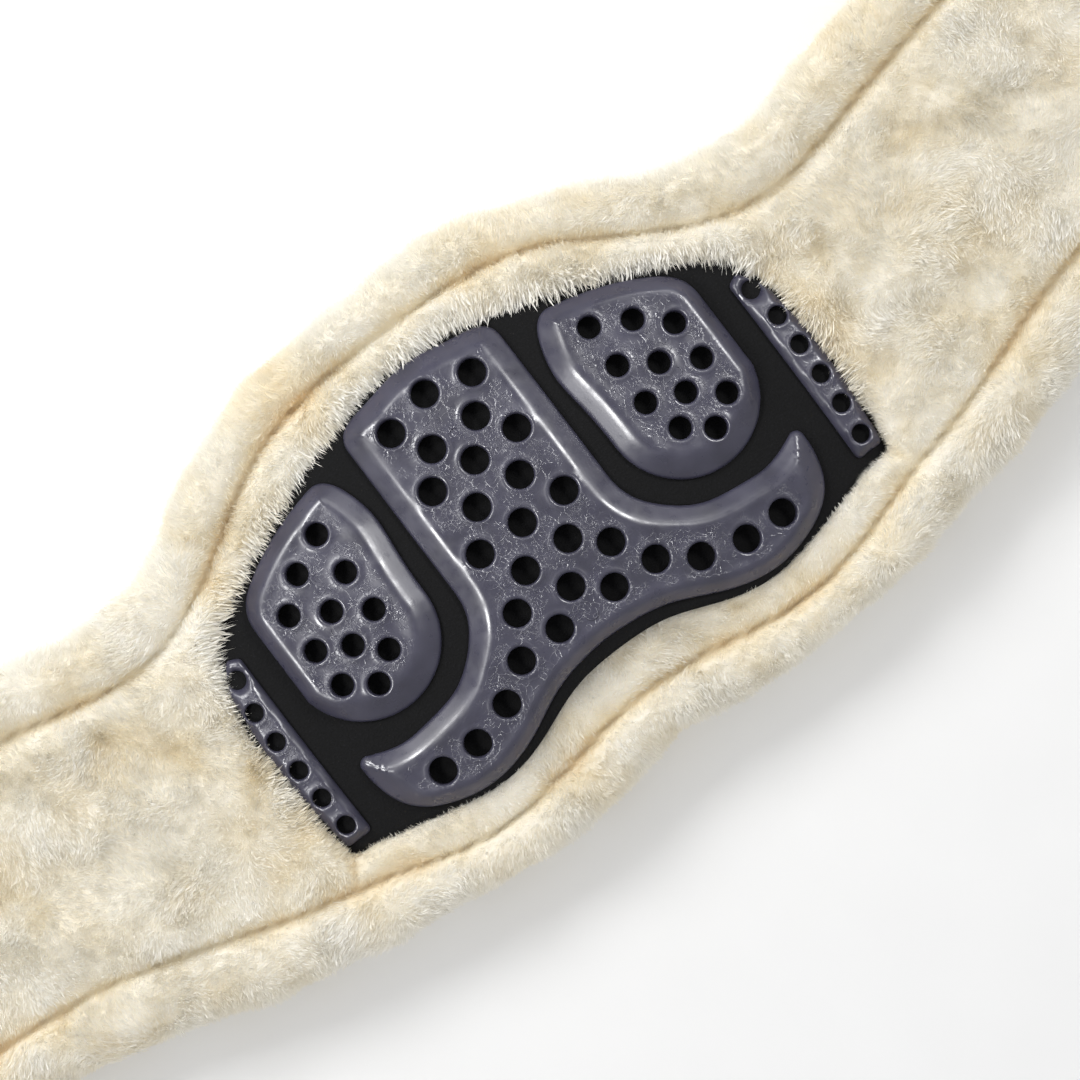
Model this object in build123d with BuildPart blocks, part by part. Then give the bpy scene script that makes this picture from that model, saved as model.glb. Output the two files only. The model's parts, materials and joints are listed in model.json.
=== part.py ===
"""Anatomical saddle girth with fleece lining, a ventilated sternum panel and roller buckles.

X runs along the girth, +Y towards its front edge (the horse's head) and +Z towards the horse.
The girth lies on its fleece edge rolls, so the outer leather face looks down.
"""
import os
from math import asin, cos, degrees, radians, sin

from build123d import *

os.makedirs("parts", exist_ok=True)

# ---------------------------------------------------------------- driving dimensions, mm
SHIFT_Y = -18.5  # from the outlines' own datum line to the middle of the girth's depth
HALF_BODY = 288.0  # half the length of the fleece
HALF_COVER = 286.0  # half the length of the leather

# Heights of the layers.
FACING_Z = 5.0
STRAP_Z = 7.5
COVER_Z = 10.0
LEATHER = 2.5
STRAP_THICK = 2.4
CORE_Z = COVER_Z + LEATHER
CORE_TOP = 18.0
WEB_THICK = 1.6
ARM_TOP = 31.0
FRONT_STRIP_TOP = 33.0
REAR_STRIP_TOP = 27.0
FRONT_ROLL_TOP = 33.0
REAR_ROLL_TOP = 31.0
ROLL_ROUND = 8.0

# The sternum panel is a doubly curved dome.
CROWN_Z = 38.0
CROWN_Y = 20.0 + SHIFT_Y
DOME_RX = 700.0
DOME_RY = 300.0
DOME_HALF_WIDE = 95.0
DOME_HALF_LONG = 145.0
CARRIER = 2.5
PAD_HIGH = 6.5
BAR_HIGH = 3.8
PANEL_DEEP = 30.0  # further down than the panel foam reaches

# The leather facings over the ends of the elastics.
FACING_X = 261.0
FACING_LONG = 50.0
FACING_WIDE = 90.0
FACING_ROUND = 9.0

# Straps and buckles.
STRAP_WIDE = 25.0
STRAP_PITCH = 52.0
END_MIDDLE = 29.0  # middle of the girth's end, from the datum line
ELASTIC_START = 244.0
CHAPE_START = 318.0
CHAPE_NECK = 333.0
HEEL_X = 340.0
ROLLER_X = 370.5
TONGUE_TIP_X = 374.0
BAR_Z = STRAP_Z + STRAP_THICK / 2
WIRE_R = 2.25
FRAME_HALF_WIDE = 15.45
HEEL_CORNER = 2.6
ROLLER_CORNER = 5.0
ROLLER_R = 4.0
ROLLER_LONG = 20.4
RUNNING = 0.1
CHAPE_LEATHER = 2.0
CHAPE_BORE = WIRE_R + 0.25
TONGUE_SLOT = 6.0
TONGUE_SLOT_LONG = 17.0
TONGUE_SLOT_X = HEEL_X - 2.0
ROLLER_ROUND = 0.6
TONGUE_WIDE = 4.0

# D-rings under the leather.
RING_WIRE = 2.0
RING_HALF = 14.5
RING_DEEP = 20.0
RING_CHAPE_WIDE = 20.0
RING_CHAPE_LONG = 26.0
RING_NECK = 9.0
RING_LEATHER = 1.5
RING_BORE = RING_WIRE + 0.15
RING_Z = COVER_Z - RING_BORE - RING_LEATHER
RING_PLACES = {"centre": (0.0, 68.0), "left": (-218.0, 33.0), "right": (218.0, 33.0)}
RIVET_R = 3.5
RIVET_SHANK = 1.5
RIVET_HEAD = 0.9
RING_CORNER = 3.0

# Cuts.
THROUGH = 20.0  # longer than any layer that is drilled
WHOLE = 400.0  # wider than the girth
NECK_STUB = 2.0  # the short flat where a chape's loop begins

RIVETS = [(x + s * 5.0, y + SHIFT_Y - 17.5) for x, y in RING_PLACES.values() for s in (-1, 1)]

SIDES = {"left": -1, "right": 1}
ENDS = {"front": 1, "rear": -1}


def level(height):
    """The plane on which the outlines are drawn, at a height."""
    return Plane((0, SHIFT_Y, height))


def save(part, name):
    """Labels a finished piece and writes its STEP file."""
    part.label = name
    export_step(part, f"parts/{name}.step")


# ---------------------------------------------------------------- outlines, right half
FLEECE_FRONT = [(0, 120), (40, 118), (62, 113), (80, 105.5), (100, 95), (122, 85), (142, 82.5),
                (162, 85), (200, 94), (240, 100), (HALF_BODY, 101)]
FLEECE_REAR = [(0, -78), (40, -82.5), (62, -83), (100, -79), (140, -72.5), (180, -63.5),
               (220, -51), (250, -44.5), (HALF_BODY, -42)]
SEAM_FRONT = [(0, 101), (40, 98), (62, 92), (90, 76), (118, 61.5), (142, 57), (170, 62),
              (200, 69), (240, 77), (HALF_BODY, 79)]
SEAM_REAR = [(0, -57), (30, -60), (62, -65), (90, -61.5), (120, -52), (150, -44.5),
             (200, -28), (240, -21), (HALF_BODY, -19)]


def girth_outline(front, rear, half_length):
    """The area between a front and a rear edge, mirrored about the girth's middle."""
    with BuildSketch() as outline:
        with BuildLine():
            Spline(front, tangents=[(1, 0), (1, 0)])
            Line(front[-1], rear[-1])
            Spline(rear, tangents=[(1, 0), (1, 0)])
            mirror(about=Plane.YZ)
        make_face()
        Rectangle(2 * half_length, WHOLE, mode=Mode.INTERSECT)
    return outline.sketch


def opening_outline():
    """The opening in the fleece that frames the sternum panel."""
    with BuildSketch() as outline:
        with BuildLine():
            Spline((0, 88), (20, 86), (60, 74), (100, 57), (113, 47.5), tangents=[(1, 0), (1, -1.2)])
            Spline((113, 47.5), (121.5, 20), (123, 0), (119, -40), tangents=[(0.6, -1), (-0.2, -1)])
            Line((119, -40), (100, -44.5))
            Spline((100, -44.5), (80, -49), (60, -51.8), (45, -49.5), (22, -41), (0, -38.5),
                   tangents=[(-1, -0.2), (-1, 0)])
            mirror(about=Plane.YZ)
        make_face()
    return outline.sketch


def sternum_outline():
    """The central pad: a blunt shield with two wings that sweep back to the sides."""
    with BuildSketch() as outline:
        with BuildLine():
            Spline((0, 86), (20, 83), (33.5, 73), tangents=[(1, 0), (0, -1)])
            Line((33.5, 73), (33.5, 12))
            Spline((33.5, 12), (42, -7), (54, -15.4), (70, -18.6), (92.5, -15.2),
                   tangents=[(0, -1), (1, 0.45)])
            ThreePointArc((92.5, -15.2), (95.8, -15.4), (97, -18.5))
            Spline((97, -18.5), (94, -34), (80, -46), (60, -49.5), (40, -44), (20, -35.5), (0, -33),
                   tangents=[(0.1, -1), (-1, 0)], tangent_scalars=[0.5, 0.5])
            mirror(about=Plane.YZ)
        make_face()
    return outline.sketch


def side_pad_outline(side):
    """A side pad: a rounded trapezium with a round rear edge."""
    with BuildSketch() as outline:
        with BuildLine():
            Spline((41.5, 18), (41.5, 60), (53, 71.2), tangents=[(0, 1), (1, -0.2)])
            Spline((53, 71.2), (88, 58), (97.5, 43), tangents=[(1, -0.2), (0, -1)])
            Line((97.5, 43), (97.5, 12))
            ThreePointArc((97.5, 12), (72, -10), (41.5, 18))
        make_face()
        if side < 0:
            mirror(about=Plane.YZ, mode=Mode.REPLACE)
    return outline.sketch


def end_bar_outline(side):
    """A slim bar beside the fleece at each end of the panel."""
    with BuildSketch() as outline:
        with BuildLine():
            Polyline((107.5, -37), (107.5, 39), (112.5, 41.5), (118.5, 30), (120.6, 10), (120.6, -10),
                     (118.4, -37), close=True)
        make_face()
        fillet(outline.vertices(), 1.8)
        if side < 0:
            mirror(about=Plane.YZ, mode=Mode.REPLACE)
    return outline.sketch


STERNUM_HOLES_ON_AXIS = [(0, 73), (0, 44), (0, 16.9), (0, -10.9)]
STERNUM_HOLES_AT_SIDE = [(17.6, 69), (9.5, 56), (18.3, 44.2), (9.3, 30.6), (18.2, 17), (9.2, 3),
                         (20.4, -7), (11.9, -20.2), (29.2, -21.1), (42.4, -30), (58.8, -34.8),
                         (74.3, -35.2)]
SIDE_PAD_HOLES = [(59.4, 56.8), (73.2, 49.9), (84.2, 40.2), (59.2, 40.3), (71.4, 32.4), (84.2, 24.8),
                  (59.1, 24.1), (72.5, 18.6), (63.4, 9.9), (83.9, 9.8), (73.4, 2.5)]
BAR_HOLES = [(113.1, 33.5), (114.9, 20.7), (115, 8), (114.8, -4.7), (114.4, -17.3), (113.6, -30)]
STERNUM_HOLE_R = 5.0
SIDE_HOLE_R = 4.1
BAR_HOLE_R = 3.4


# ---------------------------------------------------------------- fleece
def fleece_roll(name, end, top):
    """One padded roll along a long edge, round outside and flat underneath."""
    outer, seam = (FLEECE_FRONT, SEAM_FRONT) if end > 0 else (FLEECE_REAR, SEAM_REAR)
    with BuildPart() as roll:
        with BuildSketch(level(0)):
            with BuildLine():
                Spline(outer, tangents=[(1, 0), (1, 0)])
                Line(outer[-1], seam[-1])
                Spline(seam, tangents=[(1, 0), (1, 0)])
                mirror(about=Plane.YZ)
            make_face()
        extrude(amount=top)
        outer_middle = outer[0][1] + SHIFT_Y
        outside = roll.edges().filter_by(lambda e: abs(e.position_at(0.5).Y - outer_middle) < 0.5)
        fillet(outside.filter_by(lambda e: e.length > HALF_BODY), ROLL_ROUND)
    save(roll.part, name)


fleece_roll("fleece_front_roll", 1, FRONT_ROLL_TOP)
fleece_roll("fleece_rear_roll", -1, REAR_ROLL_TOP)

ARM_MASK = [(112, 20), (112, 49.5), (121, 60), (121, 110), (310, 110), (310, -80), (128, -80),
            (128, -51), (119, -41), (112, -41)]

for side_name, side in SIDES.items():
    with BuildPart() as arm:
        with BuildSketch(level(CORE_TOP)):
            add(girth_outline(SEAM_FRONT, SEAM_REAR, HALF_BODY))
            add(opening_outline(), mode=Mode.SUBTRACT)
            with BuildLine():
                Polyline([(side * x, y) for x, y in ARM_MASK], close=True)
            make_face(mode=Mode.INTERSECT)
        extrude(amount=ARM_TOP - CORE_TOP)
    save(arm.part, f"fleece_{side_name}_arm")

for end_name, end in ENDS.items():
    strip_top = FRONT_STRIP_TOP if end > 0 else REAR_STRIP_TOP
    with BuildPart() as strip:
        with BuildSketch(level(CORE_TOP)):
            add(girth_outline(SEAM_FRONT, SEAM_REAR, HALF_BODY))
            add(opening_outline(), mode=Mode.SUBTRACT)
            for side in SIDES.values():
                with BuildLine():
                    Polyline([(side * x, y) for x, y in ARM_MASK], close=True)
                make_face(mode=Mode.SUBTRACT)
            with Locations((0, WHOLE / 2 * end)):
                Rectangle(2 * HALF_BODY, WHOLE, mode=Mode.INTERSECT)
        extrude(amount=strip_top - CORE_TOP)
    save(strip.part, f"fleece_{end_name}_strip")


# ---------------------------------------------------------------- leather, webbing and core
STRAP_Y = {name: END_MIDDLE + end * STRAP_PITCH / 2 for name, end in ENDS.items()}

with BuildPart() as cover:
    with BuildSketch(level(COVER_Z)):
        add(girth_outline(SEAM_FRONT, SEAM_REAR, HALF_COVER))
    extrude(amount=LEATHER)
    with Locations([(x, y, COVER_Z) for x, y in RIVETS]):
        Cylinder(RIVET_SHANK, THROUGH, mode=Mode.SUBTRACT)
save(cover.part, "outer_cover")

WEB_ROUTE = {"front": [(-282, 55), (-150, 30), (0, 34), (150, 30), (282, 55)],
             "rear": [(-282, 3), (-150, -18), (0, -22), (150, -18), (282, 3)]}


def web_outline(route, grow=0.0):
    """A load web's plan: a strap of constant width along a smooth route."""
    half = STRAP_WIDE / 2 + grow
    with BuildSketch() as outline:
        with BuildLine():
            near = Spline([(x, y - half) for x, y in route], tangents=[(1, -0.25), (1, 0.25)])
            far = Spline([(x, y + half) for x, y in route], tangents=[(1, -0.25), (1, 0.25)])
            Line(near @ 0, far @ 0)
            Line(near @ 1, far @ 1)
        make_face()
    return outline.sketch


for web_name, route in WEB_ROUTE.items():
    with BuildPart() as web:
        with BuildSketch(level(CORE_Z)):
            add(web_outline(route))
        extrude(amount=WEB_THICK)
    save(web.part, f"load_web_{web_name}")

with BuildPart() as core:
    with BuildSketch(level(CORE_Z)):
        add(girth_outline(SEAM_FRONT, SEAM_REAR, HALF_COVER))
    extrude(amount=CORE_TOP - CORE_Z)
    with BuildSketch(level(CORE_Z)):
        for route in WEB_ROUTE.values():
            add(web_outline(route, grow=0.5))
    extrude(amount=WEB_THICK, mode=Mode.SUBTRACT)
save(core.part, "foam_core")

for side_name, side in SIDES.items():
    with BuildPart() as facing:
        with BuildSketch(level(FACING_Z)):
            with Locations((side * FACING_X, END_MIDDLE)):
                RectangleRounded(FACING_LONG, FACING_WIDE, FACING_ROUND)
        extrude(amount=LEATHER - RUNNING)
    save(facing.part, f"end_facing_{side_name}")


# ---------------------------------------------------------------- sternum panel
def dome_layer(low, high):
    """The dome's shell between two heights, measured square to the carrier's top."""
    swing = degrees(asin(DOME_HALF_LONG / DOME_RX))
    half = asin(DOME_HALF_WIDE / DOME_RY)
    centre = DOME_RX - DOME_RY
    start = radians(-swing)
    section = Plane((0, 0, CROWN_Z - DOME_RX), x_dir=(0, 1, 0), z_dir=(cos(start), 0, -sin(start)))
    with BuildPart() as layer:
        with BuildSketch(section):
            with BuildLine():
                arcs = []
                for radius in (DOME_RY + low, DOME_RY + high):
                    reach, rise = radius * sin(half), centre + radius * cos(half)
                    arcs.append(ThreePointArc((CROWN_Y - reach, rise), (CROWN_Y, centre + radius),
                                              (CROWN_Y + reach, rise)))
                Line(arcs[0] @ 0, arcs[1] @ 0)
                Line(arcs[0] @ 1, arcs[1] @ 1)
            make_face()
        revolve(axis=Axis((0, 0, CROWN_Z - DOME_RX), (0, 1, 0)), revolution_arc=2 * swing)
    return layer.part


def domed(name, outline, low, high, holes=(), hole_r=0.0):
    """A piece of the panel: an outline with its holes, cut from a layer of the dome."""
    with BuildPart() as piece:
        with BuildSketch(level(CORE_TOP)):
            add(outline)
            if holes:
                with Locations(*holes):
                    Circle(hole_r, mode=Mode.SUBTRACT)
        extrude(amount=CROWN_Z)
        add(dome_layer(low, high), mode=Mode.INTERSECT)
    save(piece.part, name)


domed("panel_foam", opening_outline(), -PANEL_DEEP, -CARRIER)
domed("panel_carrier", opening_outline(), -CARRIER, 0)

sternum_holes = STERNUM_HOLES_ON_AXIS + [(s * x, y) for x, y in STERNUM_HOLES_AT_SIDE for s in (-1, 1)]
domed("sternum_pad", sternum_outline(), 0, PAD_HIGH, holes=sternum_holes, hole_r=STERNUM_HOLE_R)
for side_name, side in SIDES.items():
    domed(f"side_pad_{side_name}", side_pad_outline(side), 0, PAD_HIGH,
          holes=[(side * x, y) for x, y in SIDE_PAD_HOLES], hole_r=SIDE_HOLE_R)
    domed(f"end_bar_{side_name}", end_bar_outline(side), 0, BAR_HIGH,
          holes=[(side * x, y) for x, y in BAR_HOLES], hole_r=BAR_HOLE_R)


# ---------------------------------------------------------------- D-rings on the outer face
for place, (ring_x, ring_y) in RING_PLACES.items():
    bar_y = ring_y + SHIFT_Y
    stack = RING_LEATHER * 2
    with BuildPart() as chape:
        with BuildSketch(Plane((ring_x - RING_CHAPE_WIDE / 2, 0, 0), x_dir=(0, 1, 0), z_dir=(1, 0, 0))):
            with Locations((bar_y, RING_Z)):
                Circle(RING_BORE + RING_LEATHER)
            with Locations((bar_y - RING_NECK, COVER_Z - stack / 2)):
                Rectangle(NECK_STUB, stack)
            make_hull()
            with Locations((bar_y - (RING_NECK + RING_CHAPE_LONG) / 2, COVER_Z - stack / 2)):
                Rectangle(RING_CHAPE_LONG - RING_NECK, stack)
            with Locations((bar_y, RING_Z)):
                Circle(RING_BORE, mode=Mode.SUBTRACT)
        extrude(amount=RING_CHAPE_WIDE)
        with Locations([(x, y, COVER_Z) for x, y in RIVETS]):
            Cylinder(RIVET_SHANK, THROUGH, mode=Mode.SUBTRACT)
    save(chape.part, f"d_ring_chape_{place}")

    with BuildPart() as ring:
        with BuildLine() as path:
            Line((ring_x, bar_y, RING_Z), (ring_x + RING_HALF - RING_CORNER, bar_y, RING_Z))
            RadiusArc((ring_x + RING_HALF - RING_CORNER, bar_y, RING_Z),
                      (ring_x + RING_HALF, bar_y + RING_CORNER, RING_Z), -RING_CORNER)
            Line((ring_x + RING_HALF, bar_y + RING_CORNER, RING_Z),
                 (ring_x + RING_HALF, bar_y + RING_DEEP - RING_HALF, RING_Z))
            RadiusArc((ring_x + RING_HALF, bar_y + RING_DEEP - RING_HALF, RING_Z),
                      (ring_x, bar_y + RING_DEEP, RING_Z), -RING_HALF)
        with BuildSketch(Plane(path.line @ 0, x_dir=(0, 1, 0), z_dir=(1, 0, 0))):
            Circle(RING_WIRE)
        sweep()
        mirror(about=Plane((ring_x, 0, 0), z_dir=(1, 0, 0)))
    save(ring.part, f"d_ring_{place}")

with BuildPart() as rivet_group:
    shank_low = COVER_Z - 2 * RING_LEATHER
    with Locations([(x, y, shank_low) for x, y in RIVETS]):
        Cylinder(RIVET_SHANK - RUNNING / 2, CORE_Z - shank_low,
                 align=(Align.CENTER, Align.CENTER, Align.MIN))
        Cylinder(RIVET_R, RIVET_HEAD, align=(Align.CENTER, Align.CENTER, Align.MAX))
save(rivet_group.part, "chape_rivets")


# ---------------------------------------------------------------- straps and roller buckles
def strap(side_name, side, end_name):
    """The five pieces of one strap: elastic, chape, buckle frame, roller and tongue."""
    y = STRAP_Y[end_name] + SHIFT_Y
    key = f"{side_name}_{end_name}"
    across = Plane((0, y, 0), x_dir=(side, 0, 0), z_dir=(0, -side, 0))  # local x outward, local y up

    with BuildPart() as elastic:
        with BuildSketch(across):
            with Locations(((ELASTIC_START + CHAPE_START - 0.3) / 2, BAR_Z)):
                Rectangle(CHAPE_START - 0.3 - ELASTIC_START, STRAP_THICK - RUNNING)
        extrude(amount=STRAP_WIDE / 2, both=True)
    save(elastic.part, f"elastic_{key}")

    with BuildPart() as chape:
        with BuildSketch(across):
            with Locations((HEEL_X, BAR_Z)):
                Circle(CHAPE_BORE + CHAPE_LEATHER)
            with Locations((CHAPE_NECK, BAR_Z)):
                Rectangle(NECK_STUB, STRAP_THICK + 2 * CHAPE_LEATHER)
            make_hull()
            with Locations(((CHAPE_START + CHAPE_NECK) / 2, BAR_Z)):
                Rectangle(CHAPE_NECK - CHAPE_START, STRAP_THICK + 2 * CHAPE_LEATHER)
            with Locations((HEEL_X, BAR_Z)):
                Circle(CHAPE_BORE, mode=Mode.SUBTRACT)
        extrude(amount=STRAP_WIDE / 2, both=True)
        with BuildSketch(across):
            with Locations((TONGUE_SLOT_X, BAR_Z)):
                Rectangle(TONGUE_SLOT_LONG, THROUGH)
        extrude(amount=TONGUE_SLOT / 2, both=True, mode=Mode.SUBTRACT)
    save(chape.part, f"buckle_chape_{key}")

    with BuildPart() as frame:
        with BuildLine() as path:
            heel = (side * HEEL_X, y, BAR_Z)
            heel_end = (side * HEEL_X, y + FRAME_HALF_WIDE, BAR_Z)
            far_end = (side * ROLLER_X, y + FRAME_HALF_WIDE, BAR_Z)
            far = (side * ROLLER_X, y, BAR_Z)
            FilletPolyline(heel, heel_end, far_end, far, radius=[HEEL_CORNER, ROLLER_CORNER])
        with BuildSketch(Plane(heel, x_dir=(1, 0, 0), z_dir=(0, 1, 0))):
            Circle(WIRE_R)
        sweep()
        mirror(about=Plane((0, y, 0), z_dir=(0, 1, 0)))
    save(frame.part, f"buckle_frame_{key}")

    with BuildPart() as roller:
        with BuildSketch(across):
            with Locations((ROLLER_X, BAR_Z)):
                Circle(ROLLER_R)
                Circle(WIRE_R + RUNNING, mode=Mode.SUBTRACT)
        extrude(amount=ROLLER_LONG / 2, both=True)
        fillet(roller.edges().filter_by(GeomType.CIRCLE).group_by(SortBy.RADIUS)[-1], ROLLER_ROUND)
    save(roller.part, f"buckle_roller_{key}")

    with BuildPart() as tongue:
        with BuildSketch(across):
            with Locations((HEEL_X + 1.0, BAR_Z - 2.8)):
                Circle(1.7)
            with Locations((TONGUE_TIP_X - 1.5, BAR_Z - ROLLER_R - 2.0)):
                Circle(1.5)
            make_hull()
            with Locations((HEEL_X, BAR_Z)):
                Circle(WIRE_R + RUNNING + 2.0)
            with Locations((HEEL_X, BAR_Z)):
                Circle(WIRE_R + RUNNING, mode=Mode.SUBTRACT)
        extrude(amount=TONGUE_WIDE / 2, both=True)
    save(tongue.part, f"buckle_tongue_{key}")


for side_name, side in SIDES.items():
    for end_name in ENDS:
        strap(side_name, side, end_name)
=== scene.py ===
"""A short anatomical saddle girth: fleece lining, gel sternum panel, leather and roller buckles.

Every piece is in metres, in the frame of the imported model. Sizes below are in millimetres and
are turned to metres where a mesh is made.
"""
import json
import logging
import math
from dataclasses import dataclass, field
from enum import Enum
from typing import Iterable, Optional, Sequence, Union

import bmesh
import bpy
import numpy as np
from mathutils import Matrix, Vector
from mathutils.geometry import delaunay_2d_cdt

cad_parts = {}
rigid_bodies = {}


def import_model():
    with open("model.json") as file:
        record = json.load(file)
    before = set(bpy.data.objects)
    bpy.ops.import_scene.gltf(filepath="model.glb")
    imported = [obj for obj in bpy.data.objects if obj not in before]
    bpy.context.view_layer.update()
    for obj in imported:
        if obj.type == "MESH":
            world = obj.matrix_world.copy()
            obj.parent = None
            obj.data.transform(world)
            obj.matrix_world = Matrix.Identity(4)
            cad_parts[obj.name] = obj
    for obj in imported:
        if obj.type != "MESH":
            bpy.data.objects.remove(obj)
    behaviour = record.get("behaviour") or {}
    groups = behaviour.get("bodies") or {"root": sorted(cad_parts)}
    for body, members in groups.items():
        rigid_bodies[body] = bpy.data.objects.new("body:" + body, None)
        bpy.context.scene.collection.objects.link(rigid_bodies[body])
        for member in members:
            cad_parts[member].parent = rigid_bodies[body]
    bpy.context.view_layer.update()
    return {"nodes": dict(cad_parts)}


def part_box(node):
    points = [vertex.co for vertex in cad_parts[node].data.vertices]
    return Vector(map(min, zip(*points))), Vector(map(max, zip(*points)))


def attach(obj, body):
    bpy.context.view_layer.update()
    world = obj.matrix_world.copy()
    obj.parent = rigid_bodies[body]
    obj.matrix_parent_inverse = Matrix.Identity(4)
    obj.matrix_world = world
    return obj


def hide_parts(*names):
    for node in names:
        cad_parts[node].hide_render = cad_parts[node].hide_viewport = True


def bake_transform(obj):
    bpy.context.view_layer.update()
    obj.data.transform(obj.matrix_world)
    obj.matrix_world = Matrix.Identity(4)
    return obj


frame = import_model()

MM = 0.001
GIRTH = "girth"
WELD = 0.004  # corners of a CAD mesh nearer than this are one
SEAM_OUT = 34.3  # the cover's edge is further than this from the girth's middle line; rivet holes are nearer
LOG = logging.getLogger("girth")

Loop = np.ndarray  # points in plan, n by 2, in millimetres
Inputs = Union[dict, Sequence]


class Side(Enum):
    """The two ends of the girth, as the sign of X."""

    LEFT = -1
    RIGHT = 1


class Edge(Enum):
    """The two long edges of the girth, as the sign of Y."""

    REAR = -1
    FRONT = 1


# ------------------------------------------------------------------ node helpers
def linear(colour: str) -> tuple[float, float, float, float]:
    """Turns an sRGB hex colour, six digits after a hash, into opaque linear RGBA."""
    parts = [int(colour[i : i + 2], 16) / 255 for i in (1, 3, 5)]
    return (*(c / 12.92 if c <= 0.04045 else ((c + 0.055) / 1.055) ** 2.4 for c in parts), 1.0)


def wire(tree: bpy.types.NodeTree, node: bpy.types.Node, inputs: Inputs) -> None:
    """Sets or links a node's inputs.

    Args:
        tree: The node's tree.
        node: The node.
        inputs: Values or sockets by the input's name or number, or in order. A node stands for its
            first output.
    """
    for key, value in inputs.items() if isinstance(inputs, dict) else enumerate(inputs):
        if isinstance(value, bpy.types.Node):
            value = value.outputs[0]
        if isinstance(value, bpy.types.NodeSocket):
            tree.links.new(value, node.inputs[key])
        else:
            node.inputs[key].default_value = value


def add_node(tree: bpy.types.NodeTree, kind: str, inputs: Inputs = (), stops: Sequence = (),
             **settings) -> bpy.types.Node:
    """Adds a node with its settings, values and links.

    Args:
        tree: The node tree to add to.
        kind: The node's type name.
        inputs: What wire() takes.
        stops: A colour ramp's stops, each a position and an sRGB colour.
        settings: The node's own properties.

    Returns:
        The new node.
    """
    node = tree.nodes.new(kind)
    for key, value in settings.items():
        setattr(node, key, value)
    wire(tree, node, inputs)
    if stops:
        elements = node.color_ramp.elements
        while len(elements) < len(stops):
            elements.new(0.5)
        for element, (place, colour) in zip(elements, stops):
            element.position = place
            element.color = linear(colour)
    return node


def mottle(tree: bpy.types.NodeTree, size_mm: float, detail: float = 3.0,
           stretch: Sequence[float] = (1, 1, 1), distort: float = 0.0) -> bpy.types.Node:
    """A mottled pattern in object space.

    Args:
        tree: The node tree.
        size_mm: The size of a patch.
        detail: Finer layers added on top.
        stretch: How much longer a patch is along each axis.
        distort: How much the patches are twisted.

    Returns:
        The node whose first output is the pattern, from 0 to 1.
    """
    place = add_node(tree, "ShaderNodeTexCoord").outputs["Object"]
    scale = tuple(1.0 / (size_mm * MM * s) for s in stretch)
    mapped = add_node(tree, "ShaderNodeMapping", {"Vector": place, "Scale": scale})
    return add_node(tree, "ShaderNodeTexNoise", {"Vector": mapped, "Scale": 1.0, "Detail": detail,
                                                 "Distortion": distort})


# ------------------------------------------------------------------ finishes
@dataclass(frozen=True)
class Finish:
    """A finish: what a surface is made of. Subclasses draw its colour and relief."""

    name: str
    slot: str
    colour: str
    roughness: float = 0.5

    def material(self) -> bpy.types.Material:
        """Returns the finish's material, made the first time that it is asked for."""
        known = bpy.data.materials.get(self.name)
        if known:
            return known
        made = bpy.data.materials.new(self.name)
        made.use_nodes = True
        made.diffuse_color = linear(self.colour)
        tree = made.node_tree
        shader = tree.nodes["Principled BSDF"]
        wire(tree, shader, {"Base Color": linear(self.colour), "Roughness": self.roughness})
        wire(tree, shader, self.draw(tree))
        return made

    def draw(self, tree: bpy.types.NodeTree) -> dict:
        """Draws the finish's colour and relief, and returns what goes into the shader."""
        raise NotImplementedError


@dataclass(frozen=True)
class Wool(Finish):
    """Sheepskin: pale keratin, ivory to creamy with lanolin, matt, with painted shade that makes it warmer
    and darker in the seams and hollows.
    """

    # The colour at the shaded end of the scale: painted shade in the seams and hollows, and also the wool's
    # own warmer patches.
    warm: str = "#F0DAB0"
    pale: str = "#FDFBF5"
    sheen: float = 0.25
    patch_mm: float = 30.0

    def draw(self, tree: bpy.types.NodeTree) -> dict:
        """Ivory with painted shade that turns it warmer in the seams and hollows, and soft patches of a
        warmer tone of its own.
        """
        warm = add_node(tree, "ShaderNodeAttribute", attribute_name="warm").outputs["Fac"]
        patch = mottle(tree, self.patch_mm, stretch=(1, 1, 40))
        drift = add_node(tree, "ShaderNodeMapRange", (patch, 0.35, 0.7, -0.06, 0.17))
        depth = add_node(tree, "ShaderNodeMath", (warm, drift), operation="ADD")
        tone = add_node(tree, "ShaderNodeValToRGB", (depth,),
                        [(0.0, self.pale), (0.35, self.colour), (1.0, self.warm)])
        return {"Base Color": tone, "Sheen Weight": self.sheen, "Specular IOR Level": 0.2}


@dataclass(frozen=True)
class WoolHide(Wool):
    """The dense lower part of the pile, whose tufts show as a fine relief."""

    tuft_mm: float = 1.3

    def draw(self, tree: bpy.types.NodeTree) -> dict:
        """The wool's tones with a relief of tufts and a wider sheen."""
        tuft = mottle(tree, self.tuft_mm, 4.0, distort=1.2)
        relief = add_node(tree, "ShaderNodeBump", {"Height": tuft, "Distance": 0.5 * MM, "Strength": 0.7})
        return {**super().draw(tree), "Normal": relief, "Sheen Roughness": 0.6}


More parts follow.
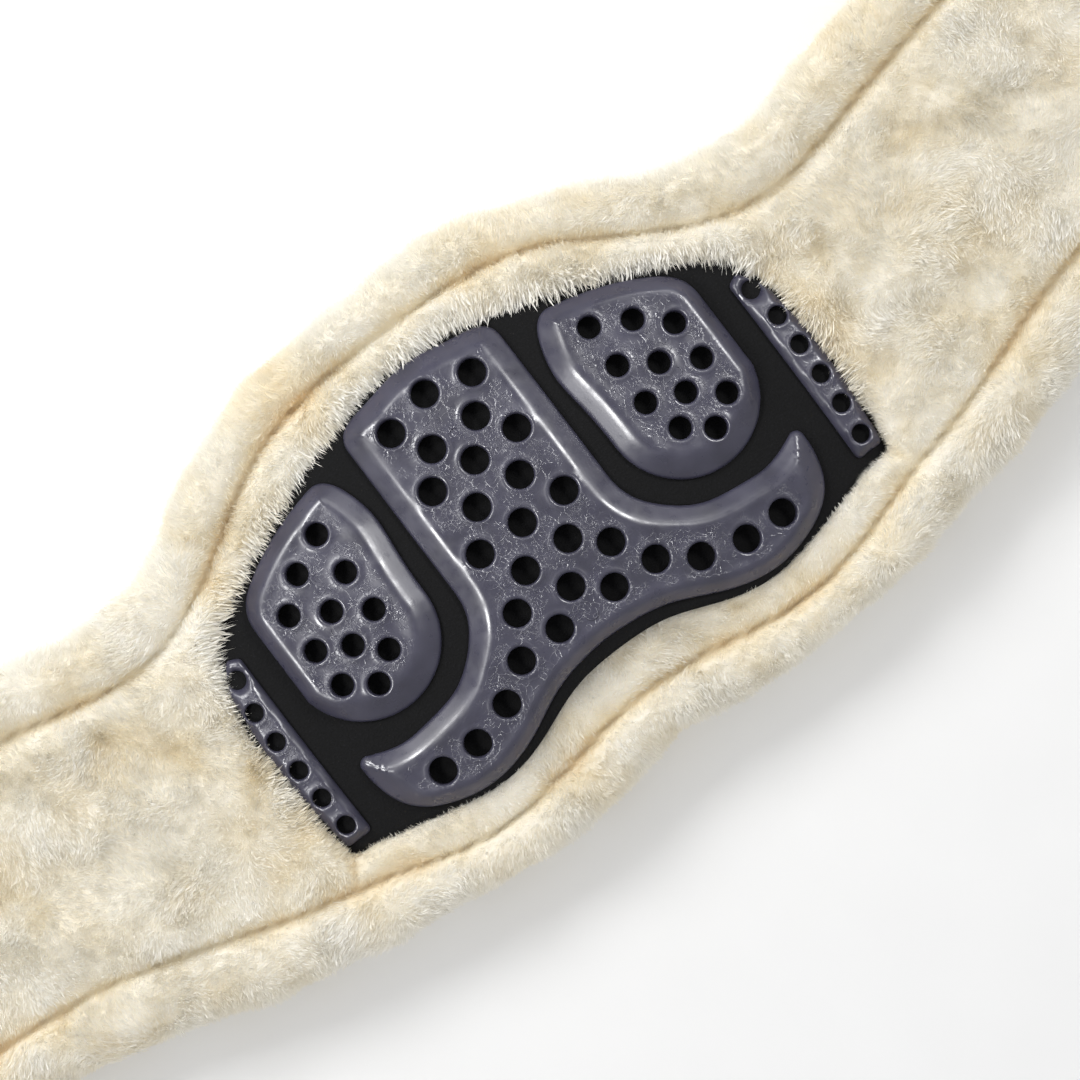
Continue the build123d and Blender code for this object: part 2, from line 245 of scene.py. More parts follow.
@dataclass(frozen=True)
class GelPad(Finish):
    """Moulded thermoplastic rubber: bluish grey, semi-gloss, with a crazed skin whose crack lines are painted
    pale as a painted highlight.
    """

    craze_mm: float = 3.4
    bend_mm: float = 9.0
    shift_mm: float = 7.0
    # The colour of the painted highlight on the crack lines.
    craze_highlight_colour: str = "#7C7C88"
    dark: str = "#383746"
    light: str = "#494859"

    def crazing(self, tree: bpy.types.NodeTree) -> bpy.types.Node:
        """Fine bent crack lines in two sizes, broken up in patches, on the level faces only."""
        place = add_node(tree, "ShaderNodeTexCoord").outputs["Object"]
        bend = add_node(tree, "ShaderNodeTexNoise",
                        {"Vector": place, "Scale": 1 / (self.bend_mm * MM), "Detail": 3.0})
        shift = add_node(tree, "ShaderNodeVectorMath", (bend.outputs["Color"], (0.5, 0.5, 0.5)),
                         operation="SUBTRACT")
        size = add_node(tree, "ShaderNodeVectorMath", {0: shift, "Scale": self.shift_mm * MM},
                        operation="SCALE")
        moved = add_node(tree, "ShaderNodeVectorMath", (place, size), operation="ADD")
        lines = []
        for part, thin in ((1.0, 0.05), (0.42, 0.08)):
            cells = add_node(tree, "ShaderNodeTexVoronoi",
                             {"Vector": moved, "Scale": 1 / (self.craze_mm * part * MM)},
                             feature="DISTANCE_TO_EDGE")
            where = add_node(tree, "ShaderNodeMapRange",
                             (mottle(tree, 14.0 * part, 2.0), 0.46, 0.62, 0.0, 1.0))
            line = add_node(tree, "ShaderNodeMapRange", (cells, 0.0, thin, 1.0, 0.0))
            lines.append(add_node(tree, "ShaderNodeMath", (line, where), operation="MULTIPLY"))
        level = add_node(tree, "ShaderNodeAttribute", attribute_name="flat").outputs["Fac"]
        both = add_node(tree, "ShaderNodeMath", lines, operation="MAXIMUM")
        return add_node(tree, "ShaderNodeMath", (both, level), operation="MULTIPLY")

    def draw(self, tree: bpy.types.NodeTree) -> dict:
        """Clouded grey with crazing whose lines are painted pale as a painted highlight, over a faint mould
        texture.
        """
        craze = self.crazing(tree)
        body = add_node(tree, "ShaderNodeValToRGB", (mottle(tree, 12.0, 5.0),),
                        [(0.3, self.dark), (0.5, self.colour), (0.75, self.light)])
        # Painted highlight: the crack lines are painted paler for the light that their edges catch. Their
        # relief, in the bump below, is real.
        faint = add_node(tree, "ShaderNodeMath", (craze, 0.22), operation="MULTIPLY")
        mix = add_node(tree, "ShaderNodeMix", {"Factor": faint, 6: body, 7: linear(self.craze_highlight_colour)},
                       data_type="RGBA")
        rough = add_node(tree, "ShaderNodeMapRange",
                         (mottle(tree, 5.0, 4.0), 0.3, 0.75, self.roughness - 0.06, self.roughness + 0.14))
        skin = add_node(tree, "ShaderNodeBump",
                        {"Height": mottle(tree, 0.9), "Distance": 0.03 * MM, "Strength": 0.5})
        cracks = add_node(tree, "ShaderNodeBump",
                          {"Height": craze, "Distance": 0.12 * MM, "Strength": 1.0, "Normal": skin})
        return {"Base Color": mix.outputs[2], "Roughness": rough, "Normal": cracks, "IOR": 1.5}


@dataclass(frozen=True)
class Velour(Finish):
    """Brushed loop velour on neoprene: near black, matt, with a soft nap and stray lint."""

    nap_mm: float = 0.8

    def draw(self, tree: bpy.types.NodeTree) -> dict:
        """A short nap whose lumps show as faint lighter flecks."""
        nap = mottle(tree, self.nap_mm, 4.0)
        shade = add_node(tree, "ShaderNodeValToRGB", (nap,),
                         [(0.35, self.colour), (0.62, "#0C0C0E"), (0.8, "#1A1A1E")])
        pile = add_node(tree, "ShaderNodeBump", {"Height": nap, "Distance": 0.5 * MM, "Strength": 0.9})
        return {"Base Color": shade, "Normal": pile, "Specular IOR Level": 0.15}


@dataclass(frozen=True)
class GrainLeather(Finish):
    """Waxed grain leather: pebbled cells about a millimetre across with creases between."""

    grain_mm: float = 1.1

    def draw(self, tree: bpy.types.NodeTree) -> dict:
        """Grain cells as bump, and a slight change of tone and gloss across the hide."""
        place = add_node(tree, "ShaderNodeTexCoord").outputs["Object"]
        cells = add_node(tree, "ShaderNodeTexVoronoi", {"Vector": place, "Scale": 1 / (self.grain_mm * MM)},
                         feature="DISTANCE_TO_EDGE")
        grain = add_node(tree, "ShaderNodeMapRange", (cells, 0.0, 0.18, 0.0, 1.0))
        tone = add_node(tree, "ShaderNodeValToRGB", (mottle(tree, 18.0, 4.0),),
                        [(0.3, "#161412"), (0.55, self.colour), (0.8, "#2C2926")])
        rough = add_node(tree, "ShaderNodeMapRange",
                         (mottle(tree, 7.0), 0.3, 0.7, self.roughness - 0.08, self.roughness + 0.1))
        crease = add_node(tree, "ShaderNodeBump",
                          {"Height": mottle(tree, 4.0), "Distance": 0.15 * MM, "Strength": 0.5})
        pebble = add_node(tree, "ShaderNodeBump",
                          {"Height": grain, "Distance": 0.12 * MM, "Strength": 0.7, "Normal": crease})
        return {"Base Color": tone, "Roughness": rough, "Normal": pebble}


@dataclass(frozen=True)
class Weave(Finish):
    """A woven band: warp along X and weft across, drawn at its real thread spacing."""

    thread_mm: float = 0.9

    def draw(self, tree: bpy.types.NodeTree) -> dict:
        """Crossed waves for warp and weft, with fuzz between the threads."""
        place = add_node(tree, "ShaderNodeTexCoord").outputs["Object"]
        turns = 2 * math.pi / (20 * self.thread_mm * MM)
        waves = [add_node(tree, "ShaderNodeTexWave", {"Vector": place, "Scale": turns, "Distortion": 0.6,
                                                      "Detail": 1.0}, bands_direction=way).outputs["Fac"]
                 for way in ("X", "Y")]
        thread = add_node(tree, "ShaderNodeMath", waves, operation="MULTIPLY")
        tone = add_node(tree, "ShaderNodeValToRGB", (thread,),
                        [(0.0, "#08080A"), (0.5, self.colour), (1.0, "#3A3A3E")])
        cloth = add_node(tree, "ShaderNodeBump", {"Height": thread, "Distance": 0.25 * MM, "Strength": 0.8})
        return {"Base Color": tone, "Normal": cloth}


@dataclass(frozen=True)
class Foam(Finish):
    """Closed-cell foam: a dull skin with cells under a millimetre across."""

    cell_mm: float = 0.8

    def draw(self, tree: bpy.types.NodeTree) -> dict:
        """Small round cells as tone and bump."""
        place = add_node(tree, "ShaderNodeTexCoord").outputs["Object"]
        cells = add_node(tree, "ShaderNodeTexVoronoi", {"Vector": place, "Scale": 1 / (self.cell_mm * MM)})
        tone = add_node(tree, "ShaderNodeValToRGB", (cells,), [(0.0, "#0C0C0D"), (0.7, self.colour)])
        skin = add_node(tree, "ShaderNodeBump", {"Height": cells, "Distance": 0.3 * MM, "Strength": 0.6})
        return {"Base Color": tone, "Normal": skin}


@dataclass(frozen=True)
class Nickel(Finish):
    """Polished nickel plate on steel, with hairline rub marks from straps."""

    rub_mm: float = 0.5

    def draw(self, tree: bpy.types.NodeTree) -> dict:
        """Bright, slightly yellowish white metal whose gloss drops where straps rub."""
        rub = mottle(tree, self.rub_mm, stretch=(8, 1, 1))
        wear = mottle(tree, 6.0)
        both = add_node(tree, "ShaderNodeMath", (rub, wear), operation="MULTIPLY")
        rough = add_node(tree, "ShaderNodeMapRange",
                         (both, 0.15, 0.45, self.roughness, self.roughness + 0.16))
        tone = add_node(tree, "ShaderNodeValToRGB", (wear,), [(0.3, "#B9B4AA"), (0.6, self.colour)])
        marks = add_node(tree, "ShaderNodeBump", {"Height": rub, "Distance": 0.01 * MM, "Strength": 0.3})
        return {"Base Color": tone, "Roughness": rough, "Normal": marks, "Metallic": 1.0}


@dataclass(frozen=True)
class Thread(Finish):
    """Bonded polyester thread, twisted, with a dull wax shine."""

    twist_mm: float = 0.5

    def draw(self, tree: bpy.types.NodeTree) -> dict:
        """Fine twist lines."""
        twist = mottle(tree, self.twist_mm, 2.0, stretch=(0.6, 0.6, 2))
        tone = add_node(tree, "ShaderNodeValToRGB", (twist,), [(0.3, "#3C3833"), (0.7, self.colour)])
        relief = add_node(tree, "ShaderNodeBump", {"Height": twist, "Distance": 0.05 * MM, "Strength": 0.6})
        return {"Base Color": tone, "Normal": relief}


@dataclass(frozen=True)
class PaperSweep(Finish):
    """A plain white paper sweep under the object, with hardly visible fibre."""

    def draw(self, tree: bpy.types.NodeTree) -> dict:
        """Very faint tone change, as in a paper roll."""
        tone = add_node(tree, "ShaderNodeValToRGB", (mottle(tree, 40.0, 2.0),),
                        [(0.0, "#FAFAFA"), (1.0, "#FFFFFF")])
        return {"Base Color": tone, "Specular IOR Level": 0.0}


WOOL_HIDE = WoolHide("wool_hide", "sheepskin", "#F8EFD9", 0.95, warm="#EDD3A0", pale="#FBF6EA", sheen=0.3)
WOOL_FIBRE = Wool("wool_fibre", "sheepskin", "#FAF4E4", 0.7)
GEL = GelPad("moulded_gel_rubber", "gel_pad", "#403F50", 0.3)
VELOUR = Velour("velour_neoprene", "neoprene", "#050506", 0.95)
COVER_LEATHER = GrainLeather("cover_grain_leather", "cover_leather", "#201D1B", 0.46)
STRAP_LEATHER = GrainLeather("strap_grain_leather", "strap_leather", "#231F1C", 0.4, 0.8)
ELASTIC = Weave("woven_elastic", "elastic", "#17171A", 0.8, 0.8)
WEBBING = Weave("nylon_webbing", "webbing", "#141416", 0.7, 1.2)
FOAM = Foam("closed_cell_foam", "foam", "#1A1A1B", 0.9)
NICKEL = Nickel("nickel_plate", "nickel_plate", "#D8D3C8", 0.16)
THREAD = Thread("bonded_thread", "strap_leather", "#6E675E", 0.6)
SWEEP = PaperSweep("paper_sweep", "", "#FFFFFF", 0.9)


# ------------------------------------------------------------------ making pieces
def linked(name: str, data: bpy.types.ID) -> bpy.types.Object:
    """Makes an object of some data and links it to the scene."""
    made = bpy.data.objects.new(name, data)
    bpy.context.scene.collection.objects.link(made)
    return made


def new_object(name: str, points: np.ndarray, faces: Iterable[Sequence[int]],
               finish: Finish) -> bpy.types.Object:
    """Makes a smooth-shaded mesh object from points in millimetres.

    Args:
        name: The object's name.
        points: The vertices, n by 3.
        faces: Vertex numbers of each face.
        finish: What it is made of.

    Returns:
        The object, linked to the scene, at the origin.
    """
    mesh = bpy.data.meshes.new(name)
    mesh.from_pydata((np.asarray(points, float) * MM).tolist(), [], [list(map(int, f)) for f in faces])
    mesh.materials.append(finish.material())
    mesh.shade_smooth()
    return linked(name, mesh)


def mark(piece: bpy.types.Object, name: str, values: np.ndarray) -> None:
    """Stores a number, or a direction, for each of a piece's vertices under a name."""
    many = values.ndim > 1
    made = piece.data.attributes.new(name, "FLOAT_VECTOR" if many else "FLOAT", "POINT")
    made.data.foreach_set("vector" if many else "value", values.ravel())


def place(piece: bpy.types.Object, body: str, finish: Finish, *nodes: str) -> None:
    """Puts a finished piece on its body, hides the nodes that it stands for, and logs it."""
    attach(piece, body)
    if nodes:
        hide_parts(*nodes)
    count = sum(len(p.vertices) - 2 for p in piece.data.polygons)
    LOG.info("%s rides on %s, %d triangles", piece.name, body, count)


def softened(node: str, finish: Finish, edge_mm: float, steps: int = 2,
             angle: float = 35.0) -> bpy.types.Object:
    """A copy of a CAD node with its doubles merged, its edges rounded and its curves smooth.

    Args:
        node: The CAD node's name.
        finish: What it is made of.
        edge_mm: The width of the rounded edge, or 0 for none.
        steps: Segments across a rounded edge.
        angle: Edges that turn more than this, in degrees, are rounded or kept crisp.

    Returns:
        The new piece, which isn't placed on a body yet.
    """
    mesh = frame["nodes"][node].data.copy()
    mesh.materials.clear()
    mesh.materials.append(finish.material())
    work = bmesh.new()
    work.from_mesh(mesh)
    bmesh.ops.remove_doubles(work, verts=work.verts, dist=WELD * MM)
    bmesh.ops.recalc_face_normals(work, faces=work.faces)
    limit = math.radians(angle)
    if edge_mm:
        sharp = [e for e in work.edges if len(e.link_faces) == 2 and e.calc_face_angle() > limit]
        bmesh.ops.bevel(work, geom=sharp, offset=edge_mm * MM, segments=steps, profile=0.5, affect="EDGES",
                        clamp_overlap=True)
    work.to_mesh(mesh)
    work.free()
    mesh.shade_smooth()
    mesh.set_sharp_from_angle(angle=limit)
    return linked(node + "_finished", mesh)


def plain_mesh(source: bpy.types.Object, name: str, finish: Finish) -> bpy.types.Object:
    """Turns an object with live modifiers into a plain mesh object and removes the source."""
    graph = bpy.context.evaluated_depsgraph_get()
    mesh = bpy.data.meshes.new_from_object(source.evaluated_get(graph))
    mesh.name = name
    mesh.materials.clear()
    mesh.materials.append(finish.material())
    bpy.data.objects.remove(source)
    return linked(name, mesh)


def settle(piece: bpy.types.Object, table: float) -> None:
    """Keeps a pile above the table, and maps it by its plan, so that fibres over one spot match."""
    mesh = piece.data
    co = np.empty(len(mesh.vertices) * 3, np.float32)
    mesh.vertices.foreach_get("co", co)
    co = co.reshape(-1, 3)
    co[:, 2] = np.maximum(co[:, 2], table * MM)
    mesh.vertices.foreach_set("co", co.ravel())
    co = co[:, :2]
    co = (co - co.min(0)) / np.ptp(co, axis=0).max()
    corner = np.empty(len(mesh.loops), np.int32)
    mesh.loops.foreach_get("vertex_index", corner)
    layer = mesh.uv_layers.new(name="OFBake")
    layer.data.foreach_set("uv", co[corner].ravel())


# ------------------------------------------------------------------ plans and outlines
def smooth_loop(loop: Loop, step: float) -> Loop:
    """Runs a smooth closed curve through a loop's corners.

    Args:
        loop: The corners, in order.
        step: The distance between the new points, in millimetres.

    Returns:
        The evenly spaced points of the curve.
    """
    ahead = np.roll(loop, -1, 0) - loop
    length = np.linalg.norm(ahead, axis=1)
    before = np.roll(length, 1)
    slope = ahead / length[:, None]
    tangent = (np.roll(slope, 1, 0) * length[:, None] + slope * before[:, None]) / (length + before)[:, None]
    dense = []
    for i, reach in enumerate(length):
        j = (i + 1) % len(loop)
        t = np.linspace(0, 1, max(2, int(reach / step * 3)), endpoint=False)[:, None]
        dense.append((2 * t**3 - 3 * t**2 + 1) * loop[i] + (t**3 - 2 * t**2 + t) * tangent[i] * reach
                     + (3 * t**2 - 2 * t**3) * loop[j] + (t**3 - t**2) * tangent[j] * reach)
    curve = np.concatenate(dense)
    curve = np.concatenate([curve, curve[:1]])
    along = np.concatenate([[0], np.cumsum(np.linalg.norm(np.diff(curve, axis=0), axis=1))])
    at = np.linspace(0, along[-1], max(8, round(along[-1] / step)), endpoint=False)
    return np.stack([np.interp(at, along, curve[:, k]) for k in range(2)], axis=1)


def rim_edges_of(node: str) -> list[np.ndarray]:
    """Finds the edges where a CAD node's upper face meets its upright walls.

    Args:
        node: A node with an upper face.

    Returns:
        The two ends in plan of each edge, in millimetres.
    """
    work = bmesh.new()
    work.from_mesh(frame["nodes"][node].data)
    bmesh.ops.remove_doubles(work, verts=work.verts, dist=WELD * MM)
    work.normal_update()
    found = []
    for edge in work.edges:
        rise = sorted(f.normal.z for f in edge.link_faces)
        if len(rise) == 2 and rise[1] > 0.5 and abs(rise[0]) < 0.2:
            found.append(np.array([v.co[:2] for v in edge.verts]) / MM)
    work.free()
    return found


def rim_loops(node: str) -> list[Loop]:
    """Joins the edges of a CAD node's upper rim into closed loops, the widest first."""
    ahead: dict = {}
    for a, b in rim_edges_of(node):
        a, b = tuple(a), tuple(b)
        ahead.setdefault(a, []).append(b)
        ahead.setdefault(b, []).append(a)
    loops, seen = [], set()
    for start in ahead:
        if start in seen:
            continue
        chain, here = [], start
        while here is not None:
            seen.add(here)
            chain.append(here)
            here = next((v for v in ahead[here] if v not in seen), None)
        loops.append(np.array(chain))
    return sorted(loops, key=lambda c: -np.ptp(c, axis=0).sum())


def end_middle(xs: np.ndarray) -> np.ndarray:
    """The middle line of the girth in plan: it sweeps 11.5 mm forward towards both ends."""
    return 11.5 * ease((np.abs(xs) - 90) / 150)


def moving_mean(row: np.ndarray, half: int) -> np.ndarray:
    """Averages each number of a row with its neighbours, half of them on each side."""
    wide = 2 * half + 1
    return np.convolve(np.pad(row, half, mode="edge"), np.ones(wide) / wide, "same")[half:-half]


def cover_edge(edge: Edge) -> Loop:
    """The leather cover's long edge in plan, from left to right, where the seam is sewn."""
    points = np.unique(np.round(np.concatenate(rim_edges_of("outer_cover")), 2), axis=0)
    points = points[edge.value * (points[:, 1] - end_middle(points[:, 0])) > SEAM_OUT]
    at = np.linspace(points[:, 0].min(), points[:, 0].max(), 241)
    order = np.argsort(points[:, 0])
    rough = np.interp(at, points[order, 0], points[order, 1])
    return np.column_stack([at, moving_mean(rough, 3)])


def circle_of(loop: Loop) -> tuple[np.ndarray, float]:
    """Returns a round loop's centre and radius."""
    middle = (loop.max(0) + loop.min(0)) / 2
    return middle, float(np.linalg.norm(loop - middle, axis=1).mean())


def nearest_on(points: np.ndarray, line: Loop, closed: bool = True) -> tuple[np.ndarray, np.ndarray]:
    """Measures points against a line in plan.

    Args:
        points: n by 2.
        line: The line's corners.
        closed: Whether its last corner joins its first.

    Returns:
        Each point's distance to the line, and the number of the line's nearest stretch.
    """
    a = line if closed else line[:-1]
    ab = (np.roll(line, -1, 0) if closed else line[1:]) - a
    size = (ab**2).sum(1) + 1e-12
    distance, index = np.empty(len(points)), np.empty(len(points), int)
    for low in range(0, len(points), 2000):
        p = points[low : low + 2000, None, :]
        t = np.clip(((p - a) * ab).sum(2) / size, 0, 1)
        gap = np.linalg.norm(p - a - t[:, :, None] * ab, axis=2)
        index[low : low + 2000] = gap.argmin(1)
        distance[low : low + 2000] = gap.min(1)
    return distance, index


def inside(points: np.ndarray, loop: Loop) -> np.ndarray:
    """Says for each point whether it is inside a closed loop."""
    x, y = points[:, :1], points[:, 1:]
    a, b = loop, np.roll(loop, -1, 0)
    crosses = (a[:, 1] > y) != (b[:, 1] > y)
    rise = np.where(b[:, 1] == a[:, 1], 1e-9, b[:, 1] - a[:, 1])
    at = a[:, 0] + (y - a[:, 1]) * (b[:, 0] - a[:, 0]) / rise
    return (crosses & (x < at)).sum(1) % 2 == 1


def inward(loop: Loop) -> np.ndarray:
    """Returns the unit normals of a closed loop that point to its inside."""
    run = np.roll(loop, -1, 0) - np.roll(loop, 1, 0)
    normal = np.stack([-run[:, 1], run[:, 0]], axis=1)
    normal /= np.linalg.norm(normal, axis=1)[:, None]
    x, y = loop[:, 0], loop[:, 1]
    area = (x * np.roll(y, -1) - np.roll(x, -1) * y).sum()
    return normal if area > 0 else -normal


def waves(points: np.ndarray, size_mm: float, seed: int, count: int = 28) -> np.ndarray:
    """Smooth lumps made of crossing waves.

    Args:
        points: n by 2 or n by 3, in millimetres.
        size_mm: The size of a lump.
        seed: Chooses the lumps.
        count: How many waves are added up.

    Returns:
        A value for each point, mostly from -1 to 1.
    """
    draw = np.random.default_rng(seed)
    way = draw.normal(size=(count, points.shape[1]))
    way /= np.linalg.norm(way, axis=1)[:, None]
    way *= (math.pi / size_mm) * draw.uniform(0.6, 1.5, (count, 1))
    phase = draw.uniform(0, 2 * math.pi, count)
    return np.sin(points @ way.T + phase).sum(1) / math.sqrt(count)


def ease(value: np.ndarray) -> np.ndarray:
    """A smooth step from 0 to 1."""
    t = np.clip(value, 0, 1)
    return t * t * (3 - 2 * t)


@dataclass
class Plan:
    """A flat mesh that follows an outline and its holes, finer beside them."""

    outline: Loop
    holes: list[Loop] = field(default_factory=list)
    rows: Sequence[float] = ()
    hole_rows: Sequence[float] = ()
    pitch: float = 2.0

    def beside(self, loop: Loop, rows: Sequence[float], away: float) -> list[np.ndarray]:
        """Rows of points at given distances from a loop, kept clear of every other loop."""
        normal = inward(loop) * away
        made = []
        for row in rows:
            moved = loop + normal * row
            keep = nearest_on(moved, loop)[0] > row * 0.96
            for other in [self.outline, *self.holes]:
                if other is not loop:
                    keep &= nearest_on(moved, other)[0] > min(0.5, row)
            made.append(moved[keep])
        return made

    def build(self) -> tuple[np.ndarray, np.ndarray]:
        """Triangulates the plan.

        Returns:
            The points, n by 2, and the triangles, counter-clockwise seen from above.
        """
        loops = [self.outline, *self.holes]
        points, edges = [], []
        for loop in loops:
            first = sum(map(len, points))
            edges += [(first + i, first + (i + 1) % len(loop)) for i in range(len(loop))]
            points.append(loop)
        points += self.beside(self.outline, self.rows, 1)
        for hole in self.holes:
            points += self.beside(hole, self.hole_rows, -1)
        low, high = self.outline.min(0), self.outline.max(0)
        xs = np.arange(low[0], high[0], self.pitch)
        ys = np.arange(low[1], high[1], self.pitch * math.sqrt(3) / 2)
        grid = np.array([(x + (j % 2) * self.pitch / 2, y) for j, y in enumerate(ys) for x in xs])
        grid = grid[inside(grid, self.outline)]
        grid = grid[nearest_on(grid, self.outline)[0] > max(self.rows, default=0) + self.pitch * 0.6]
        for hole in self.holes:
            clear = nearest_on(grid, hole)[0] > max(self.hole_rows, default=0) + self.pitch * 0.5
            grid = grid[~inside(grid, hole) & clear]
        points.append(grid)
        every = np.concatenate(points)
        made = delaunay_2d_cdt([Vector(p) for p in every.tolist()], edges, [], 0, 1e-5)
        flat = np.array([tuple(v) for v in made[0]])
        faces = np.array([f for f in made[2] if len(f) == 3])
        middle = flat[faces].mean(1)
        keep = inside(middle, self.outline)
        for hole in self.holes:
            keep &= ~inside(middle, hole)
        faces = faces[keep]
        ab, ac = flat[faces[:, 1]] - flat[faces[:, 0]], flat[faces[:, 2]] - flat[faces[:, 0]]
        turned = ab[:, 0] * ac[:, 1] - ab[:, 1] * ac[:, 0] < 0
        faces[turned] = faces[turned][:, ::-1]
        used, faces = np.unique(faces, return_inverse=True)
        return flat[used], faces.reshape(-1, 3)


def rim_edges(faces: np.ndarray) -> np.ndarray:
    """Returns the directed edges that only one triangle has."""
    edges = np.concatenate([faces[:, [0, 1]], faces[:, [1, 2]], faces[:, [2, 0]]])
    known = set(map(tuple, edges.tolist()))
    return np.array([e for e in edges.tolist() if (e[1], e[0]) not in known])


def thick_shell(flat: np.ndarray, faces: np.ndarray, top: np.ndarray,
                bottom: np.ndarray) -> tuple[np.ndarray, list]:
    """Closes a plan into a solid between two heights.

    Args:
        flat: The plan's points.
        faces: Its triangles.
        top: The upper height at each point.
        bottom: The lower height at each point.

    Returns:
        The solid's points and faces.
    """
    n = len(flat)
    points = np.concatenate([np.column_stack([flat, top]), np.column_stack([flat, bottom])])
    walls = [(b, a, a + n, b + n) for a, b in rim_edges(faces)]
    return points, [*faces.tolist(), *(faces[:, ::-1] + n).tolist(), *walls]


# ------------------------------------------------------------------ the sternum panel
@dataclass(frozen=True)
class Dome:
    """The panel's doubly curved surface: the top of its carrier."""

    crown_z: float = 38.0
    crown_y: float = 1.5
    along: float = 700.0
    across: float = 300.0

    def height(self, points: np.ndarray) -> np.ndarray:
        """The carrier's top at points in plan, in millimetres."""
        ring = self.along - self.across + np.sqrt(self.across**2 - (points[:, 1] - self.crown_y) ** 2)
        return self.crown_z - self.along + np.sqrt(ring**2 - points[:, 0] ** 2)


DOME = Dome()


@dataclass
class GelIsland:
    """One moulded pad: sloping flanks up to a soft ridge, a shallow dish, and lipped vent holes."""

    node: str
    high: float
    flank_in: float
    flank_out: float
    flank_rear: float
    flank_front: float
    foot: float = 1.3
    dish: float = 0.65
    lip: float = 0.34
    pitch: float = 1.5
    sharp: float = 12.0  # how suddenly the flank turns into the ridge
    rows: Sequence[float] = (0.25, 0.7, 1.4, 2.4, 3.6, 5.0, 6.4, 7.6, 8.8)
    hole_rows: Sequence[float] = (0.25, 0.6, 1.1, 1.7, 2.4)

    def flank(self, outline: Loop) -> np.ndarray:
        """The width of the flank at each corner of the outline, smoothed along it."""
        outward = -inward(outline)
        toward_middle = -np.sign(outline[:, 0]) * outward[:, 0]
        wide = np.where(np.abs(outward[:, 1]) > 0.7,
                        np.where(outward[:, 1] > 0, self.flank_front, self.flank_rear),
                        np.where(toward_middle > 0, self.flank_in, self.flank_out))
        spread = np.ones(9) / 9
        ring = np.concatenate([wide[-12:], wide, wide[:12]])
        return np.convolve(np.convolve(ring, spread, "same"), spread, "same")[12:-12]

    def build(self) -> None:
        """Makes the pad's mesh and puts it in place of its CAD node."""
        loops = rim_loops(self.node)
        outline = smooth_loop(loops[0], 0.9)
        vents = []
        for loop in loops[1:]:
            middle, radius = circle_of(loop)
            turn = np.linspace(0, 2 * math.pi, 28, endpoint=False)
            vents.append(middle + radius * np.stack([np.cos(turn), np.sin(turn)], axis=1))
        flat, faces = Plan(outline, vents, self.rows, self.hole_rows, self.pitch).build()
        depth, near = nearest_on(flat, outline)
        wide = self.flank(outline)[near]
        along = depth / wide
        ridge = 1 - np.log1p(np.exp(self.sharp * (1 - along))) / self.sharp
        rim = np.clip(depth / 0.8, 0, 1)
        height = self.foot * np.sqrt(1 - (1 - rim) ** 2) * 0.6 + self.foot * 0.4
        height += (self.high - self.foot) * np.clip(ridge, 0, 1)
        height -= self.dish * ease((along - 1.05) / 0.9)
        for vent in vents:
            gap = nearest_on(flat, vent)[0]
            height += self.lip * np.exp(-(((gap - 1.1) / 0.75) ** 2))
            height -= 0.75 * np.clip(1 - gap / 0.6, 0, 1) ** 2
        base = DOME.height(flat)
        points, shell = thick_shell(flat, faces, base + np.maximum(height, 0.4), base - 0.02)
        piece = new_object(self.node + "_moulded", points, shell, GEL)
        piece.data.set_sharp_from_angle(angle=math.radians(60))
        flat_top = np.concatenate([ease((along - 1.1) / 0.5), np.zeros(len(flat))])
        mark(piece, "flat", flat_top)
        place(piece, GIRTH, GEL, self.node)


@dataclass
class SternumPanel:
    """The black carrier with its five gel pads and the moulding gates' marks."""

    edge: float = 2.2
    round_in: float = 3.0  # how far in from its edge the carrier is rounded
    skirt: float = 6.0
    gates: Sequence[tuple[float, float, float]] = (
        (0, 37.0, 1.9), (0, -41.0, 2.3), (74, 7.5, 1.9), (-74, 7.5, 1.9))  # X, Y and radius

    def carrier(self) -> None:
        """The velour-faced carrier, with a rounded edge that turns down to the foam."""
        outline = smooth_loop(rim_loops("panel_carrier")[0], 1.6)
        flat, faces = Plan(outline, rows=(0.3, 0.8, 1.5, 2.4, 4.0), pitch=3.0).build()
        depth = nearest_on(flat, outline)[0]
        inner = np.clip(depth / self.round_in, 0, 1)
        fall = self.edge * (1 - np.sqrt(1 - (1 - inner) ** 2))
        ripple = 0.12 * waves(flat, 9.0, seed=4)
        top = DOME.height(flat) - fall + ripple * inner - 0.12
        points, shell = thick_shell(flat, faces, top, DOME.height(flat) - self.skirt)
        piece = new_object("carrier_velour", points, shell, VELOUR)
        place(piece, GIRTH, VELOUR, "panel_carrier")

    def gate_marks(self, pads: dict[float, GelIsland]) -> None:
        """The shallow rings that the mould's gates leave in the middle of the pads."""
        tree = GateMarks().tree()
        spots = []
        for x, y, radius in self.gates:
            pad = pads[abs(x)]
            level = float(DOME.height(np.array([[x, y]]))[0]) + pad.high - pad.dish - 0.1
            spots.append((x, y, level))
        source = new_object("gate_spots", np.array(spots), [], GEL)
        mark(source, "radius_mm", np.array([radius for *_, radius in self.gates]))
        apply_tree(source, tree, {})
        piece = plain_mesh(source, "gate_marks", GEL)
        piece.data.shade_smooth()
        place(piece, GIRTH, GEL)

    def build(self) -> None:
        """Builds the carrier and its pads."""
        self.carrier()
        sternum = GelIsland("sternum_pad", 6.5, 8.0, 7.5, 4.5, 6.5)
        sides = [GelIsland(f"side_pad_{s.name.lower()}", 6.5, 7.5, 5.0, 8.5, 5.5) for s in Side]
        bars = [GelIsland(f"end_bar_{s.name.lower()}", 3.8, 2.6, 2.6, 2.6, 2.6, foot=1.0, dish=0.1,
                          lip=0.25, pitch=1.1) for s in Side]
        for island in (sternum, *sides, *bars):
            island.build()
        self.gate_marks({0: sternum, 74: sides[0]})


